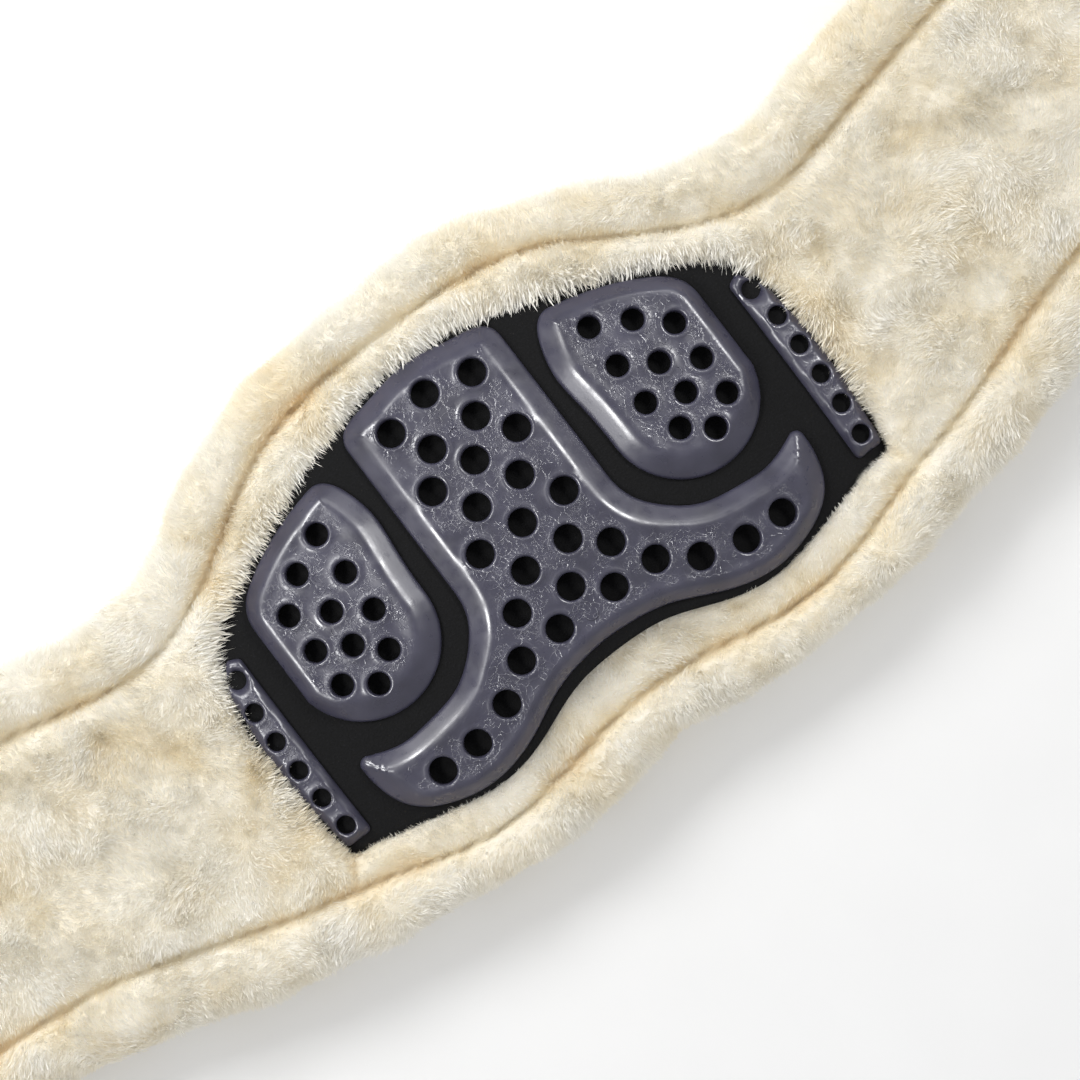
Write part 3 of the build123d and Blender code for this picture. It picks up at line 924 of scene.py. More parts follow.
def apply_tree(target: bpy.types.Object, tree: bpy.types.NodeTree, values: dict) -> None:
    """Adds a geometry nodes modifier and sets its inputs by their identifiers.

    Args:
        target: The object that gets the modifier.
        tree: The geometry node tree.
        values: Input values by the input's name.
    """
    modifier = target.modifiers.new(tree.name, "NODES")
    modifier.node_group = tree
    for item in tree.interface.items_tree:
        if item.item_type == "SOCKET" and item.in_out == "INPUT" and item.name in values:
            modifier[item.identifier] = values[item.name]


def new_tree(name: str,
             inputs: Sequence[tuple[str, str, object]]) -> tuple[bpy.types.NodeTree, bpy.types.Node]:
    """Starts a geometry node tree.

    Args:
        name: The tree's name.
        inputs: Name, socket type and default of each input after the geometry.

    Returns:
        The tree and its group input node.
    """
    tree = bpy.data.node_groups.new(name, "GeometryNodeTree")
    tree.interface.new_socket("Geometry", in_out="INPUT", socket_type="NodeSocketGeometry")
    for label, kind, value in inputs:
        socket = tree.interface.new_socket(label, in_out="INPUT", socket_type=kind)
        socket.default_value = value
    tree.interface.new_socket("Geometry", in_out="OUTPUT", socket_type="NodeSocketGeometry")
    return tree, add_node(tree, "NodeGroupInput")


def end_tree(tree: bpy.types.NodeTree, geometry: bpy.types.Node, finish: Finish) -> None:
    """Ends a tree: instances made real, and the finish's material set."""
    real = add_node(tree, "GeometryNodeRealizeInstances", (geometry,))
    dressed = add_node(tree, "GeometryNodeSetMaterial", {"Geometry": real, "Material": finish.material()})
    add_node(tree, "NodeGroupOutput", (dressed,))


@dataclass
class GateMarks:
    """Small rings set at points, one for each moulding gate."""

    wire_mm: float = 0.22

    def tree(self) -> bpy.types.NodeTree:
        """Builds the tree that puts a ring of each point's own radius on it."""
        tree, start = new_tree("gate_marks", [("Wire", "NodeSocketFloat", self.wire_mm * MM)])
        circle = add_node(tree, "GeometryNodeCurvePrimitiveCircle", {"Resolution": 28, "Radius": MM})
        wire_round = add_node(tree, "GeometryNodeCurvePrimitiveCircle",
                              {"Resolution": 6, "Radius": start.outputs["Wire"]})
        radius = add_node(tree, "GeometryNodeInputNamedAttribute", {"Name": "radius_mm"}, data_type="FLOAT")
        rings = add_node(tree, "GeometryNodeInstanceOnPoints",
                         {"Points": start, "Instance": circle, "Scale": radius})
        real = add_node(tree, "GeometryNodeRealizeInstances", (rings,))
        tube = add_node(tree, "GeometryNodeCurveToMesh", {"Curve": real, "Profile Curve": wire_round})
        end_tree(tree, tube, GEL)
        return tree


# ------------------------------------------------------------------ fleece
@dataclass
class FleeceLining:
    """The sheepskin lining: two edge rolls, two arm panels and the strips beside the opening."""

    arm_top: float = 28.5
    front_top: float = 30.5
    rear_top: float = 25.5
    roll_top: float = 30.5
    rear_roll_top: float = 28.5
    valley: float = 7.0
    mid: float = 15.0
    end_round: float = 14.0
    pitch: float = 2.4
    leather_z: float = 9.8
    core_top: float = 18.2
    locks_per_mm2: float = 0.52
    inset: float = 2.4
    table: float = 0.2
    middle_x: float = 100.0
    arm_x: float = 112.0
    rows: Sequence[float] = (0.2, 0.7, 1.5, 2.6, 4.0, 5.6, 7.4, 9.4)
    hole_rows: Sequence[float] = (0.3, 0.9, 1.8, 3.0, 4.4)

    def __post_init__(self) -> None:
        """Reads the outlines from the frame's own nodes."""
        self.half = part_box("fleece_front_roll")[1][0] / MM
        self.seams = {edge: cover_edge(edge) for edge in Edge}
        self.opening = smooth_loop(rim_loops("panel_carrier")[0], 1.8)
        self.outline = self.outer_outline()

    def roll_edge(self, edge: Edge) -> Loop:
        """The outer line of a roll in plan, from left to right."""
        node = frame["nodes"][f"fleece_{edge.name.lower()}_roll"]
        co = np.array([v.co[:] for v in node.data.vertices]) / MM
        co = co[(co[:, 2] > 7) & (co[:, 2] < 26)]  # between the roll's rounded bottom and top
        xs = np.unique(np.round(co[:, 0], 2))
        ys = [edge.value * (edge.value * co[np.abs(co[:, 0] - x) < 0.02, 1]).max() for x in xs]
        line = np.column_stack([xs, ys])
        middle = self.seam_y(line[:, 0], edge)
        line = line[edge.value * (line[:, 1] - middle) > 8]
        at = np.linspace(-self.half, self.half, 145)
        dense = np.interp(at, line[:, 0], line[:, 1])
        return np.column_stack([at, moving_mean(dense, 4)])

    def seam_y(self, xs: np.ndarray, edge: Edge) -> np.ndarray:
        """The seam line's Y at each X, on one long edge."""
        return np.interp(xs, self.seams[edge][:, 0], self.seams[edge][:, 1])

    def outer_outline(self) -> Loop:
        """The whole lining's outline, with rounded corners and a slightly wavy edge."""
        front, rear = self.roll_edge(Edge.FRONT), self.roll_edge(Edge.REAR)
        corners = []
        for end, sign in ((1, -1), (1, 1), (-1, 1), (-1, -1)):
            x, y = (front if sign > 0 else rear)[-1 if end > 0 else 0]
            turn = np.linspace(0, math.pi / 2, 6)
            turn = turn if end * sign < 0 else turn[::-1]
            corners.append(np.stack([x - end * self.end_round + end * self.end_round * np.sin(turn),
                                     y - sign * self.end_round + sign * self.end_round * np.cos(turn)],
                                    axis=1))
        trim = self.half - self.end_round - 1
        front = front[np.abs(front[:, 0]) < trim]
        rear = rear[np.abs(rear[:, 0]) < trim]
        loop = np.concatenate([rear, corners[0], corners[1], front[::-1], corners[2], corners[3]])
        loop = smooth_loop(loop, 2.2)
        return loop + inward(loop) * (self.inset - 0.9 * waves(loop, 28.0, seed=11))[:, None]

    def heights(self, flat: np.ndarray) -> tuple[np.ndarray, np.ndarray, np.ndarray]:
        """The lining's upper and lower surface.

        Args:
            flat: Points in plan.

        Returns:
            The upper height, the lower height, and the distance to the outline.
        """
        x, y = flat[:, 0], flat[:, 1]
        to_edge = nearest_on(flat, self.outline)[0]
        to_open = nearest_on(flat, self.opening)[0]
        to_seam = np.min([nearest_on(flat, line, closed=False)[0] for line in self.seams.values()], axis=0)
        front_side = y > self.seam_y(x, Edge.FRONT)
        in_roll = front_side | (y < self.seam_y(x, Edge.REAR))
        # Levels of the panels and strips, blended from the middle out to the arms.
        middle = 1 - ease((np.abs(x) - self.middle_x) / 26)
        level = self.arm_top + middle * (np.where(y > 20, self.front_top, self.rear_top) - self.arm_top)
        crown = np.where(front_side, self.roll_top, self.rear_roll_top) + 1.2 * waves(flat, 34.0, seed=5)
        low = np.minimum(level, crown) - self.valley
        # The rolls: a round outer side, a crown, and a fall into the sewn valley.
        wide = to_edge + to_seam
        across = np.where(in_roll, to_edge / np.maximum(wide, 1e-6), 1.0)
        roll = low + (crown - low) * (1 - np.clip(2 * across - 1, 0, 1) ** 3.4)
        # The panels: up out of the valley, then nearly level with soft lumps.
        rise = 1 - np.exp(-(np.minimum(to_seam, self.short_seams(flat) + 2.0) / 2.6) ** 1.1)
        panel = low + (level - low) * rise + 0.9 * waves(flat, 22.0, seed=7) * rise
        upper = np.where(in_roll, roll, panel)
        # The pile folds down to the carrier at the opening.
        sill = DOME.height(np.clip(flat, -150, 150)) - 2.2
        turn = 1 - np.sqrt(1 - (1 - np.clip(to_open / 5.5, 0, 1)) ** 2)
        upper += (np.minimum(sill, upper) - upper) * turn
        # Round the outside.
        near_end = ease((np.abs(x) - (self.half - 8)) / 6)
        hem = self.mid - 4.0 * near_end * ~in_roll
        radius = np.where(in_roll, np.clip(wide / 2, 6, 13), 12.0)
        upper = hem + (upper - hem) * np.sqrt(1 - (1 - np.clip(to_edge / radius, 0, 1)) ** 2)
        # Underneath: the rolls rest on the table, and inside the seam the hide lies on the core.
        fall = np.clip(2 * across - 1.15, 0, 1) ** 1.6
        below = np.where(in_roll, 0.6 + (self.leather_z - 0.6) * fall,
                         self.leather_z + (self.core_top - self.leather_z) * ease(to_seam / 2.5))
        tuck = np.clip(to_edge / np.where(in_roll, radius * 0.8, 2.5), 0, 1)
        lower = hem + (below - hem) * np.where(in_roll, np.sqrt(1 - (1 - tuck) ** 2), tuck)
        return upper, np.minimum(lower, upper - 0.4), to_edge

    def short_seams(self, flat: np.ndarray) -> np.ndarray:
        """The distance to the short seams from the opening's rear corners to the rear valley."""
        mirrored = np.column_stack([np.abs(flat[:, 0]), flat[:, 1]])
        line = np.array([(120.0, -62.0), (127.0, -71.0)])
        return nearest_on(mirrored, line, closed=False)[0]

    def hide(self) -> bpy.types.Object:
        """Builds the closed base of the lining, lumpy as dense pile is."""
        flat, faces = Plan(self.outline, [self.opening], self.rows, self.hole_rows, self.pitch).build()
        upper, lower, to_edge = self.heights(flat)
        rim = rim_edges(faces)
        on_outline = np.zeros(len(flat), bool)
        on_outline[rim[to_edge[rim[:, 0]] < 0.05].ravel()] = True
        lower = np.where(on_outline, upper, lower)
        points, shell = thick_shell(flat, faces, upper, lower)
        piece = new_object("fleece_lining", points, shell, WOOL_HIDE)
        work = bmesh.new()
        work.from_mesh(piece.data)
        bmesh.ops.remove_doubles(work, verts=work.verts, dist=0.01 * MM)
        work.normal_update()
        places = np.array([v.co[:] for v in work.verts]) / MM
        lump = 0.6 * waves(places, 11.0, seed=21) + 0.22 * waves(places, 5.0, seed=22)
        at_opening = nearest_on(places[:, :2], self.opening)[0] < 2.0
        gap = self.seam_gap(places[:, :2])
        lump *= 0.25 + 0.75 * ease(gap / 6)
        over_core = np.array([v.normal.z > 0.1 for v in work.verts]) & (gap < 9)
        floor = np.where(over_core, self.core_top + 0.7, 0.3)
        for vertex, push, still, low in zip(work.verts, lump, at_opening, floor):
            if not still:
                vertex.co += vertex.normal * float(push) * MM
            vertex.co.z = max(vertex.co.z, low * MM)
        work.to_mesh(piece.data)
        work.free()
        piece.data.shade_smooth()
        # Painted shade: warmer in the sewn valleys and in the hollows between lumps, paler on the lumps, over
        # a slow change of the wool's own tone.
        warm = 0.55 * np.exp(-((gap / 3.2) ** 1.4)) + 0.16 * waves(places[:, :2], 42.0, seed=71)
        mark(piece, "warm", np.clip(warm - 0.12 * lump, 0, 1))
        return piece

    def lean(self, places: np.ndarray) -> np.ndarray:
        """The way that the pile lies at each point: in swirls, over the carrier, and off the rolls."""
        flat = places[:, :2]
        swirl = np.stack([waves(flat, 30.0, seed=31 + k) + 0.5 * waves(flat, 11.0, seed=41 + k)
                          for k in range(3)], axis=1)
        swirl[:, 2] *= 0.25
        gap, near = nearest_on(flat, self.opening)
        over = np.zeros_like(swirl)
        over[:, :2] = inward(self.opening)[near] * np.exp(-gap / 5.0)[:, None]
        over *= np.where(flat[:, 1] < -40, 0.35, 1.6)[:, None]
        edge, beside = nearest_on(flat, self.outline)
        out = np.zeros_like(swirl)
        out[:, :2] = -inward(self.outline)[beside] * (0.35 * np.exp(-edge / 8.0))[:, None]
        return 0.6 * swirl + over + out

    def seam_gap(self, flat: np.ndarray) -> np.ndarray:
        """Each point's distance in plan to the nearest sewn seam."""
        long_seams = [nearest_on(flat, line, closed=False)[0] for line in self.seams.values()]
        return np.minimum(np.min(long_seams, axis=0), self.short_seams(flat) + 1.0)

    def patches(self, hide: bpy.types.Object) -> dict[str, np.ndarray]:
        """Sorts the hide's visible faces into the areas that become one piece of pile each."""
        mesh = hide.data
        middle = np.array([p.center[:] for p in mesh.polygons]) / MM
        normal = np.array([p.normal[:] for p in mesh.polygons])
        flat = middle[:, :2]
        front = flat[:, 1] > self.seam_y(flat[:, 0], Edge.FRONT)
        rear = flat[:, 1] < self.seam_y(flat[:, 0], Edge.REAR)
        roll = front | rear
        shown = roll | (normal[:, 2] > 0.15) | (np.abs(flat[:, 0]) > self.half - 3)
        shown &= ~((middle[:, 2] < 3.0) & (normal[:, 2] < -0.85))
        third = np.where(np.abs(flat[:, 0]) < self.middle_x, 0, np.sign(flat[:, 0]))
        arm = ~roll & (np.abs(flat[:, 0]) > self.arm_x)
        ahead = flat[:, 1] > end_middle(flat[:, 0])
        areas = {}
        for name, side in (("front", front), ("rear", rear)):
            for part, number in (("left", -1), ("middle", 0), ("right", 1)):
                areas[f"pile_{name}_roll_{part}"] = side & (third == number)
        for name, side in (("left", flat[:, 0] < 0), ("right", flat[:, 0] >= 0)):
            areas[f"pile_{name}_arm_front"] = arm & side & ahead
            areas[f"pile_{name}_arm_rear"] = arm & side & ~ahead
        areas["pile_front_strip"] = ~roll & ~arm & (flat[:, 1] > 0)
        areas["pile_rear_strip"] = ~roll & ~arm & (flat[:, 1] <= 0)
        return {name: shown & area for name, area in areas.items()}

    def pile(self, hide: bpy.types.Object) -> None:
        """Covers the hide with locks of fibre, one piece for each area."""
        locks = WoolLocks()
        tree = locks.tree()
        vertices = np.array([v.co[:] for v in hide.data.vertices]) / MM
        gap = nearest_on(vertices[:, :2], self.opening)[0]
        low_rear = np.exp(-gap / 6.0) * (vertices[:, 1] < -40)
        valley = np.exp(-((self.seam_gap(vertices[:, :2]) / 3.6) ** 2))
        length = (1.0 + 0.12 * waves(vertices, 18.0, seed=61) - 0.3 * low_rear) * (1 - 0.5 * valley)
        length *= 1 + 0.8 * np.exp(-gap / 3.0) * (vertices[:, 1] > -45)
        # The fibres take on the hide's painted shade and tone.
        warm = np.empty(len(vertices))
        hide.data.attributes["warm"].data.foreach_get("value", warm)
        marks = {"lean": self.lean(vertices), "long": length, "warm": warm,
                 "thick": (1 - 0.45 * valley) * (1 - 0.6 * ease((9 - vertices[:, 2]) / 5))}
        faces = [list(p.vertices) for p in hide.data.polygons]
        for number, (name, keep) in enumerate(self.patches(hide).items()):
            chosen = [faces[i] for i in np.flatnonzero(keep)]
            used, index = np.unique(np.concatenate([np.array(f) for f in chosen]), return_inverse=True)
            cuts = np.cumsum([len(f) for f in chosen])[:-1]
            source = new_object(name + "_source", vertices[used], np.split(index, cuts), WOOL_FIBRE)
            for label, values in marks.items():
                mark(source, label, values[used])
            apply_tree(source, tree, {"Density": self.locks_per_mm2 / MM**2, "Seed": number + 1})
            piece = plain_mesh(source, name, WOOL_FIBRE)
            settle(piece, self.table)
            place(piece, GIRTH, WOOL_FIBRE)
        locks.clear()

    def build(self) -> None:
        """Builds the lining and its pile."""
        hide = self.hide()
        self.pile(hide)
        nodes = [n for n in frame["nodes"] if n.startswith("fleece_")]
        place(hide, GIRTH, WOOL_HIDE, *nodes)


@dataclass
class WoolLocks:
    """Tapered fibres in small locks, scattered over a surface by geometry nodes."""

    long_fibres: int = 8
    short_fibres: int = 9
    kinds: int = 7
    length: float = 3.9
    under: float = 2.7
    root: float = 0.7
    wide: float = 0.17
    spread: float = 0.95
    store: Optional[bpy.types.Collection] = None

    def lock(self, number: int) -> bpy.types.Object:
        """One lock: bent fibres that draw together at their tips, over a straight short undercoat."""
        draw = np.random.default_rng(100 + number)
        points, faces = [], []
        turn, bend = draw.uniform(0, 2 * math.pi), draw.uniform(0.1, 0.6)
        lay = np.array([math.cos(turn), math.sin(turn), 0]) * bend
        for fibre in range(self.long_fibres + self.short_fibres):
            tall = fibre < self.long_fibres
            foot = np.append(draw.normal(0, self.spread * (1 if tall else 1.2), 2), -self.root)
            high = (self.length if tall else self.under) * draw.uniform(0.75, 1.1)
            facing = draw.uniform(0, math.pi)
            side = np.array([math.cos(facing), math.sin(facing), 0]) * self.wide / 2
            stray = np.append(draw.normal(0, 0.32, 2), 0)
            tip = foot * [0.8, 0.8, 1] + [0, 0, high] + (lay if tall else 0) + stray
            first = len(points)
            points += [foot - side, foot + side]
            if tall:
                points += [foot * [0.9, 0.9, 1] + [0, 0, high * 0.6] + lay * 0.2 + stray * 0.3 - side, tip]
                faces += [(first, first + 1, first + 2), (first + 2, first + 1, first + 3)]
            else:
                points.append(tip)
                faces.append((first, first + 1, first + 2))
        return new_object(f"wool_lock_{number}", np.array(points), faces, WOOL_FIBRE)

    def tree(self) -> bpy.types.NodeTree:
        """Builds the tree: points on the surface, a random lock on each, laid the way of the pile."""
        self.store = bpy.data.collections.new("wool_locks")
        bpy.context.scene.collection.children.link(self.store)
        for number in range(self.kinds):
            made = self.lock(number)
            bpy.context.scene.collection.objects.unlink(made)
            self.store.objects.link(made)
        tree, start = new_tree("wool_pile", [("Density", "NodeSocketFloat", 1.0),
                                             ("Seed", "NodeSocketInt", 1)])
        thick, long = (add_node(tree, "GeometryNodeInputNamedAttribute", {"Name": name}, data_type="FLOAT")
                       for name in ("thick", "long"))
        lean = add_node(tree, "GeometryNodeInputNamedAttribute", {"Name": "lean"}, data_type="FLOAT_VECTOR")
        dense = add_node(tree, "ShaderNodeMath", (thick, start.outputs["Density"]), operation="MULTIPLY")
        scatter = add_node(tree, "GeometryNodeDistributePointsOnFaces",
                           {"Mesh": start, "Density": dense, "Seed": start.outputs["Seed"]})
        jitter = add_node(tree, "FunctionNodeRandomValue",
                          {"Min": (-0.12,) * 3, "Max": (0.12,) * 3, "Seed": 3}, data_type="FLOAT_VECTOR")
        laid = add_node(tree, "ShaderNodeVectorMath", (scatter.outputs["Normal"], lean), operation="ADD")
        way = add_node(tree, "ShaderNodeVectorMath", (laid, jitter), operation="ADD")
        aim = add_node(tree, "FunctionNodeAlignRotationToVector", {"Vector": way}, axis="Z")
        spin = add_node(tree, "FunctionNodeRandomValue", {2: 0.0, 3: 2 * math.pi, "Seed": 5},
                        data_type="FLOAT")
        about = add_node(tree, "FunctionNodeAxisAngleToRotation",
                         {"Axis": (0, 0, 1), "Angle": spin.outputs[1]})
        turned = add_node(tree, "FunctionNodeRotateRotation", {"Rotation": aim, "Rotate By": about},
                          rotation_space="LOCAL")
        vary = add_node(tree, "FunctionNodeRandomValue", {2: 0.8, 3: 1.2, "Seed": 7}, data_type="FLOAT")
        size = add_node(tree, "ShaderNodeMath", (vary.outputs[1], long), operation="MULTIPLY")
        kind = add_node(tree, "FunctionNodeRandomValue", {4: 0, 5: self.kinds - 1, "Seed": 9},
                        data_type="INT")
        locks = add_node(tree, "GeometryNodeCollectionInfo",
                         {"Collection": self.store, "Separate Children": True, "Reset Children": True})
        grown = add_node(tree, "GeometryNodeInstanceOnPoints",
                         {"Points": scatter, "Instance": locks, "Pick Instance": True,
                          "Instance Index": kind.outputs[2], "Rotation": turned, "Scale": size})
        end_tree(tree, grown, WOOL_FIBRE)
        return tree

    def clear(self) -> None:
        """Removes the single locks, which aren't part of the object."""
        for item in list(self.store.objects):
            bpy.data.objects.remove(item)
        bpy.data.collections.remove(self.store)


# ------------------------------------------------------------------ leather, stitches and hardware
@dataclass
class Stitching:
    """A row of lockstitch along a line."""

    pitch: float = 3.4
    long: float = 2.6
    thick: float = 0.75

    def tree(self) -> bpy.types.NodeTree:
        """Builds the tree that lays one stitch at each step of an edge chain."""
        known = bpy.data.node_groups.get("stitches")
        if known:
            return known
        tree, start = new_tree("stitches", [("Pitch", "NodeSocketFloat", self.pitch * MM),
                                            ("Long", "NodeSocketFloat", self.long * MM),
                                            ("Thick", "NodeSocketFloat", self.thick * MM)])
        path = add_node(tree, "GeometryNodeMeshToCurve", {"Mesh": start})
        steps = add_node(tree, "GeometryNodeCurveToPoints", {"Curve": path, "Length": start.outputs["Pitch"]},
                         mode="LENGTH")
        ball = add_node(tree, "GeometryNodeMeshUVSphere", {"Segments": 8, "Rings": 6, "Radius": 0.5})
        size = add_node(tree, "ShaderNodeCombineXYZ", {0: start.outputs["Thick"], 1: start.outputs["Thick"],
                                                       2: start.outputs["Long"]})
        sewn = add_node(tree, "GeometryNodeInstanceOnPoints",
                        {"Points": steps, "Instance": ball, "Rotation": steps.outputs["Rotation"],
                         "Scale": size})
        end_tree(tree, sewn, THREAD)
        return tree

    def sew(self, name: str, body: str, lines: Sequence[np.ndarray]) -> None:
        """Sews rows of stitches that come back to their start, as one piece.

        Args:
            name: The piece's name.
            body: The body that it rides on.
            lines: Each row's corners, n by 3, in millimetres.
        """
        points, edges = [], []
        for line in lines:
            first = len(points)
            points += [tuple(p * MM) for p in np.asarray(line, float)]
            edges += [(first + i, first + (i + 1) % len(line)) for i in range(len(line))]
        mesh = bpy.data.meshes.new(name)
        mesh.from_pydata(points, edges, [])
        source = linked(name + "_line", mesh)
        apply_tree(source, self.tree(),
                   {"Pitch": self.pitch * MM, "Long": self.long * MM, "Thick": self.thick * MM})
        piece = plain_mesh(source, name, THREAD)
        piece.data.shade_smooth()
        place(piece, body, THREAD)


def box_mm(node: str) -> tuple[np.ndarray, np.ndarray]:
    """A CAD node's lowest and highest corner, in millimetres."""
    low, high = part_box(node)
    return np.array(low) / MM, np.array(high) / MM


def rectangle(low: np.ndarray, high: np.ndarray, inset: float, z: float, corner: float) -> np.ndarray:
    """A rounded rectangle of points inside a box in plan, at one height."""
    x0, y0, x1, y1 = low[0] + inset, low[1] + inset, high[0] - inset, high[1] - inset
    points = []
    for cx, cy, start in ((x1 - corner, y1 - corner, 0), (x0 + corner, y1 - corner, 90),
                          (x0 + corner, y0 + corner, 180), (x1 - corner, y0 + corner, 270)):
        for turn in np.radians(np.linspace(start, start + 90, 6)):
            points.append((cx + corner * math.cos(turn), cy + corner * math.sin(turn), z))
    return np.array(points)


@dataclass
class LeatherBody:
    """The outer face: the cover, its end facings, the D-rings' chapes and their rivets."""

    stitch: Stitching = field(default_factory=Stitching)
    inset: float = 5.0
    thread_out: float = 0.1  # how far a thread's middle lies outside the leather
    ring_sewn: float = 15.0  # the length of a D-ring's chape that is sewn down
    ring_leather: float = 3.0

    def cover(self) -> None:
        """The grain leather cover with a row of stitches inside its edge."""
        piece = softened("outer_cover", COVER_LEATHER, 0.7)
        place(piece, GIRTH, COVER_LEATHER, "outer_cover")
        low = box_mm("outer_cover")[0][2]
        rear, front = cover_edge(Edge.REAR), cover_edge(Edge.FRONT)
        row = np.concatenate([rear + [0, self.inset], front[::-1] - [0, self.inset]])
        row[:, 0] *= 1 - self.inset / np.abs(row[:, 0]).max()
        row = np.column_stack([row, np.full(len(row), low - self.thread_out)])
        self.stitch.sew("cover_stitches", GIRTH, [row])

    def facings(self) -> None:
        """The two leather facings over the elastics, sewn with double rows."""
        for side in Side:
            node = f"end_facing_{side.name.lower()}"
            place(softened(node, STRAP_LEATHER, 0.6), GIRTH, STRAP_LEATHER, node)
            low, high = box_mm(node)
            rows = [rectangle(low, high, inset, low[2] - self.thread_out, 7.0) for inset in (3.0, 6.0)]
            self.stitch.sew(node + "_stitches", GIRTH, rows)

    def ring_chapes(self) -> None:
        """The D-rings with their chapes, stitched and riveted to the cover."""
        for spot in ("centre", "left", "right"):
            node = f"d_ring_chape_{spot}"
            place(softened(node, STRAP_LEATHER, 0.35), GIRTH, STRAP_LEATHER, node)
            low, high = box_mm(node)
            sewn_high = np.array([high[0], low[1] + self.ring_sewn])
            row = rectangle(low, sewn_high, 2.2, high[2] - self.ring_leather - self.thread_out, 1.5)
            self.stitch.sew(node + "_stitches", GIRTH, [row])
            ring = f"d_ring_{spot}"
            place(softened(ring, NICKEL, 0.0), ring, NICKEL, ring)
        place(softened("chape_rivets", NICKEL, 0.25), GIRTH, NICKEL, "chape_rivets")

    def linings(self) -> None:
        """Dresses the inner CAD nodes, whose shape is already right."""
        inner = {"foam_core": FOAM, "panel_foam": FOAM, "load_web_front": WEBBING, "load_web_rear": WEBBING}
        for node, finish in inner.items():
            mesh = frame["nodes"][node].data
            mesh.materials.clear()
            mesh.materials.append(finish.material())
            LOG.info("%s keeps its CAD shape", node)

    def build(self) -> None:
        """Builds the outer face and dresses the inner layers."""
        self.cover()
        self.facings()
        self.ring_chapes()
        self.linings()


@dataclass
class Strap:
    """One strap: a ribbed elastic, its leather chape, and a roller buckle."""

    side: Side
    edge: Edge
    ribs: int = 14
    rib_high: float = 0.22
    tuck: float = 0.35  # how far the elastic goes on into its chape
    neck_half: float = 3.25  # from the chape's middle to its stitches

    def __post_init__(self) -> None:
        """Names the strap's bodies and nodes."""
        self.key = f"{self.side.name.lower()}_{self.edge.name.lower()}"

    def elastic(self) -> None:
        """The woven elastic, ribbed along its length."""
        node = f"elastic_{self.key}"
        low, high = box_mm(node)
        (high if self.side is Side.RIGHT else low)[0] += self.side.value * self.tuck
        across = np.linspace(-1, 1, self.ribs * 6 + 1)
        relief = self.rib_high * (np.abs(np.cos(across * self.ribs * math.pi / 2)) - 1)
        relief -= 0.5 * np.clip((np.abs(across) - 0.95) / 0.05, 0, 1) ** 2  # the thin selvedges
        y = (low[1] + high[1]) / 2 + across * (high[1] - low[1]) / 2
        section = np.concatenate([np.column_stack([y, high[2] + relief]),
                                  np.column_stack([y, low[2] - relief])[::-1]])
        xs = np.linspace(low[0], high[0], 61)
        n = len(section)
        points = np.array([(x, *yz) for x in xs for yz in section])
        faces = [(i * n + j, (i + 1) * n + j, (i + 1) * n + (j + 1) % n, i * n + (j + 1) % n)
                 for i in range(len(xs) - 1) for j in range(n)]
        faces += [tuple(range(n)), tuple((len(xs) - 1) * n + j for j in reversed(range(n)))]
        piece = new_object(node + "_woven", points, faces, ELASTIC)
        work = bmesh.new()
        work.from_mesh(piece.data)
        bmesh.ops.recalc_face_normals(work, faces=work.faces)
        work.to_mesh(piece.data)
        work.free()
        piece.data.set_sharp_from_angle(angle=math.radians(60))
        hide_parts(node)
        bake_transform(piece)
        LOG.info("%s stretches from the cover to the chape", piece.name)

    def chape(self) -> None:
        """The folded leather chape with its stitching on both faces."""
        node, body = f"buckle_chape_{self.key}", f"buckle_mount_{self.key}"
        place(softened(node, STRAP_LEATHER, 0.45), body, STRAP_LEATHER, node)
        low, high = box_mm(node)
        middle = (low + high) / 2
        inner = low[0] if self.side is Side.RIGHT else high[0]
        xs = sorted([inner + self.side.value * 1.8, inner + self.side.value * 11.0])
        a, b = np.array([xs[0], low[1] + 2.2]), np.array([xs[1], high[1] - 2.2])
        rows = [rectangle(a, b, 0.0, middle[2] + face * self.neck_half, 1.2) for face in (-1, 1)]
        Stitching(2.6, 2.0, 0.6).sew(node + "_stitches", body, rows)

    def buckle(self) -> None:
        """The nickel-plated frame, roller and tongue."""
        for part, rounded in (("frame", 0.0), ("roller", 0.0), ("tongue", 0.55)):
            node = f"buckle_{part}_{self.key}"
            place(softened(node, NICKEL, rounded, steps=3), node, NICKEL, node)

    def build(self) -> None:
        """Builds the whole strap."""
        self.elastic()
        self.chape()
        self.buckle()


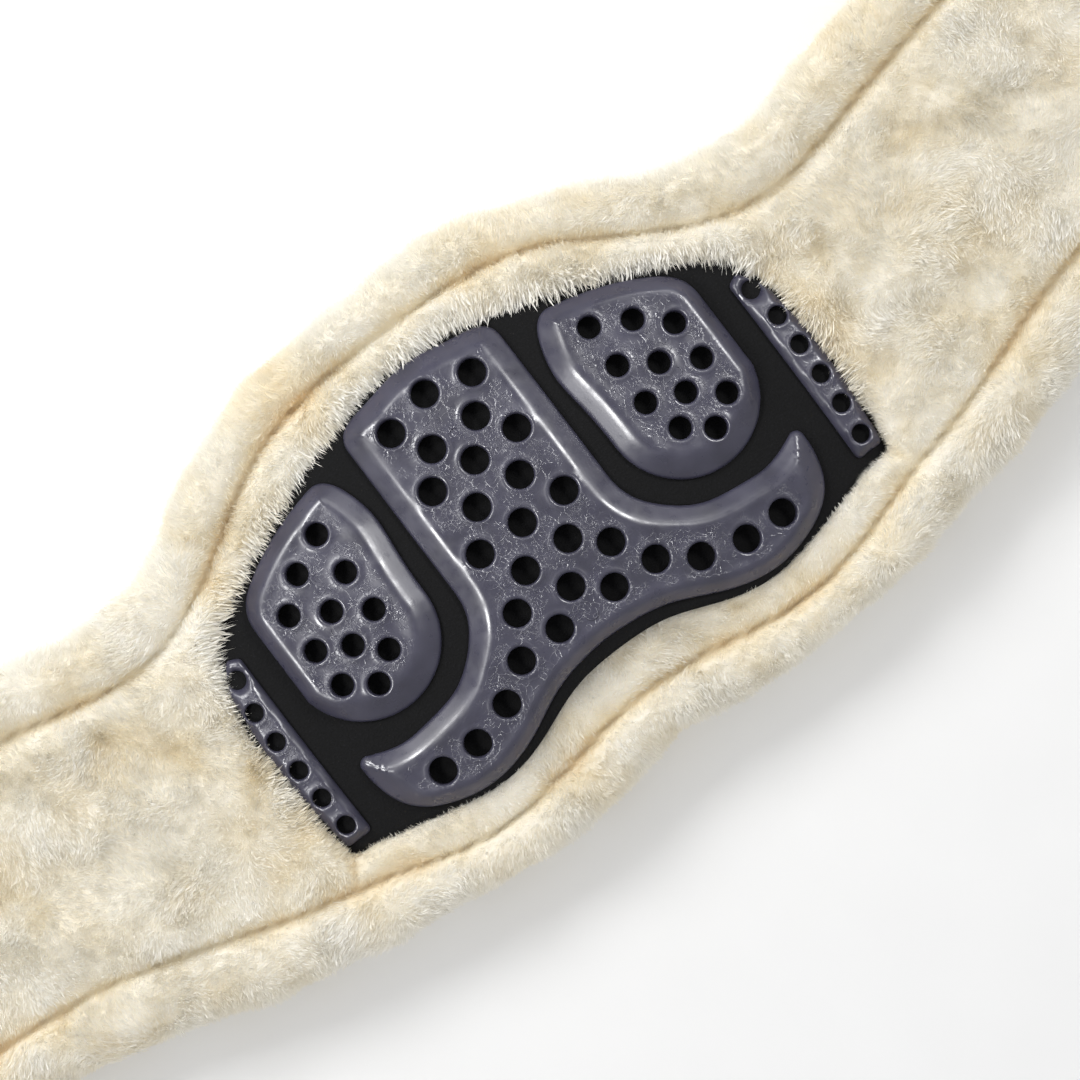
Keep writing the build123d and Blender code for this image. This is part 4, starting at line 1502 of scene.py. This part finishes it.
# ------------------------------------------------------------------ studio
@dataclass
class Studio:
    """A white paper sweep, soft lights and a camera straight above the panel."""

    aim: tuple[float, float, float] = (1.2, -10.1, 30.0)
    rise: float = 900.0
    covers: float = 378.0
    up: tuple[float, float] = (0.605294, 0.796002)
    sensor: float = 36.0
    sweep: float = 6000.0
    surround: float = 0.68

    def camera(self) -> None:
        """Looks straight down, turned so that the girth runs from lower left to upper right."""
        data = bpy.data.cameras.new("camera")
        data.sensor_width = self.sensor
        data.lens = self.sensor * self.rise / self.covers
        data.clip_start, data.clip_end = 0.01, 20.0
        camera = linked("camera", data)
        up, back = Vector((*self.up, 0)).normalized(), Vector((0, 0, 1))
        placed = Matrix((up.cross(back), up, back)).transposed().to_4x4()
        placed.translation = Vector(self.aim) * MM + back * self.rise * MM
        camera.matrix_world = placed
        bpy.context.scene.camera = camera

    def light(self, name: str, spot: tuple, size: float, watts: float) -> None:
        """Adds one soft area light that looks at the girth; a gloss light shows only as a reflection."""
        data = bpy.data.lights.new(name, "AREA")
        data.shape, data.size, data.energy = "DISK", size, watts
        lamp = linked(name, data)
        lamp.location = spot
        lamp.rotation_mode = "QUATERNION"
        lamp.rotation_quaternion = (-Vector(spot)).to_track_quat("-Z", "Y")
        lamp.visible_diffuse = not name.startswith("gloss")

    def floor(self) -> None:
        """The paper sweep that the girth lies on."""
        corners = np.array([(-1, -1, 0), (1, -1, 0), (1, 1, 0), (-1, 1, 0)]) * self.sweep
        new_object("paper_sweep", corners, [(0, 1, 2, 3)], SWEEP)

    def world(self) -> None:
        """An even white surround."""
        world = bpy.data.worlds.new("surround")
        bpy.context.scene.world = world
        world.use_nodes = True
        back = world.node_tree.nodes["Background"]
        back.inputs["Color"].default_value = linear("#FFFFFF")
        back.inputs["Strength"].default_value = self.surround
        scene = bpy.context.scene
        scene.view_settings.view_transform = "Standard"
        scene.cycles.diffuse_bounces = 10
        scene.cycles.max_bounces = 14

    def build(self) -> None:
        """Builds the studio."""
        self.camera()
        self.floor()
        self.world()
        self.light("key", (-0.45, 0.85, 0.75), 0.5, 6.5)
        self.light("top", (0.75, 0.75, 0.7), 0.4, 3.0)
        self.light("gloss_front", (-0.35, 0.8, 0.95), 0.25, 12.0)
        self.light("gloss_left", (-0.85, 0.1, 0.85), 0.25, 16.0)
        self.light("gloss_right", (0.85, 0.15, 0.85), 0.25, 16.0)


def main() -> None:
    """Builds every sub-assembly in order."""
    logging.basicConfig(level=logging.INFO, format="%(name)s: %(message)s")
    Studio().build()
    SternumPanel().build()
    LeatherBody().build()
    for side in Side:
        for edge in Edge:
            Strap(side, edge).build()
    FleeceLining().build()


if __name__ == "__main__":
    main()
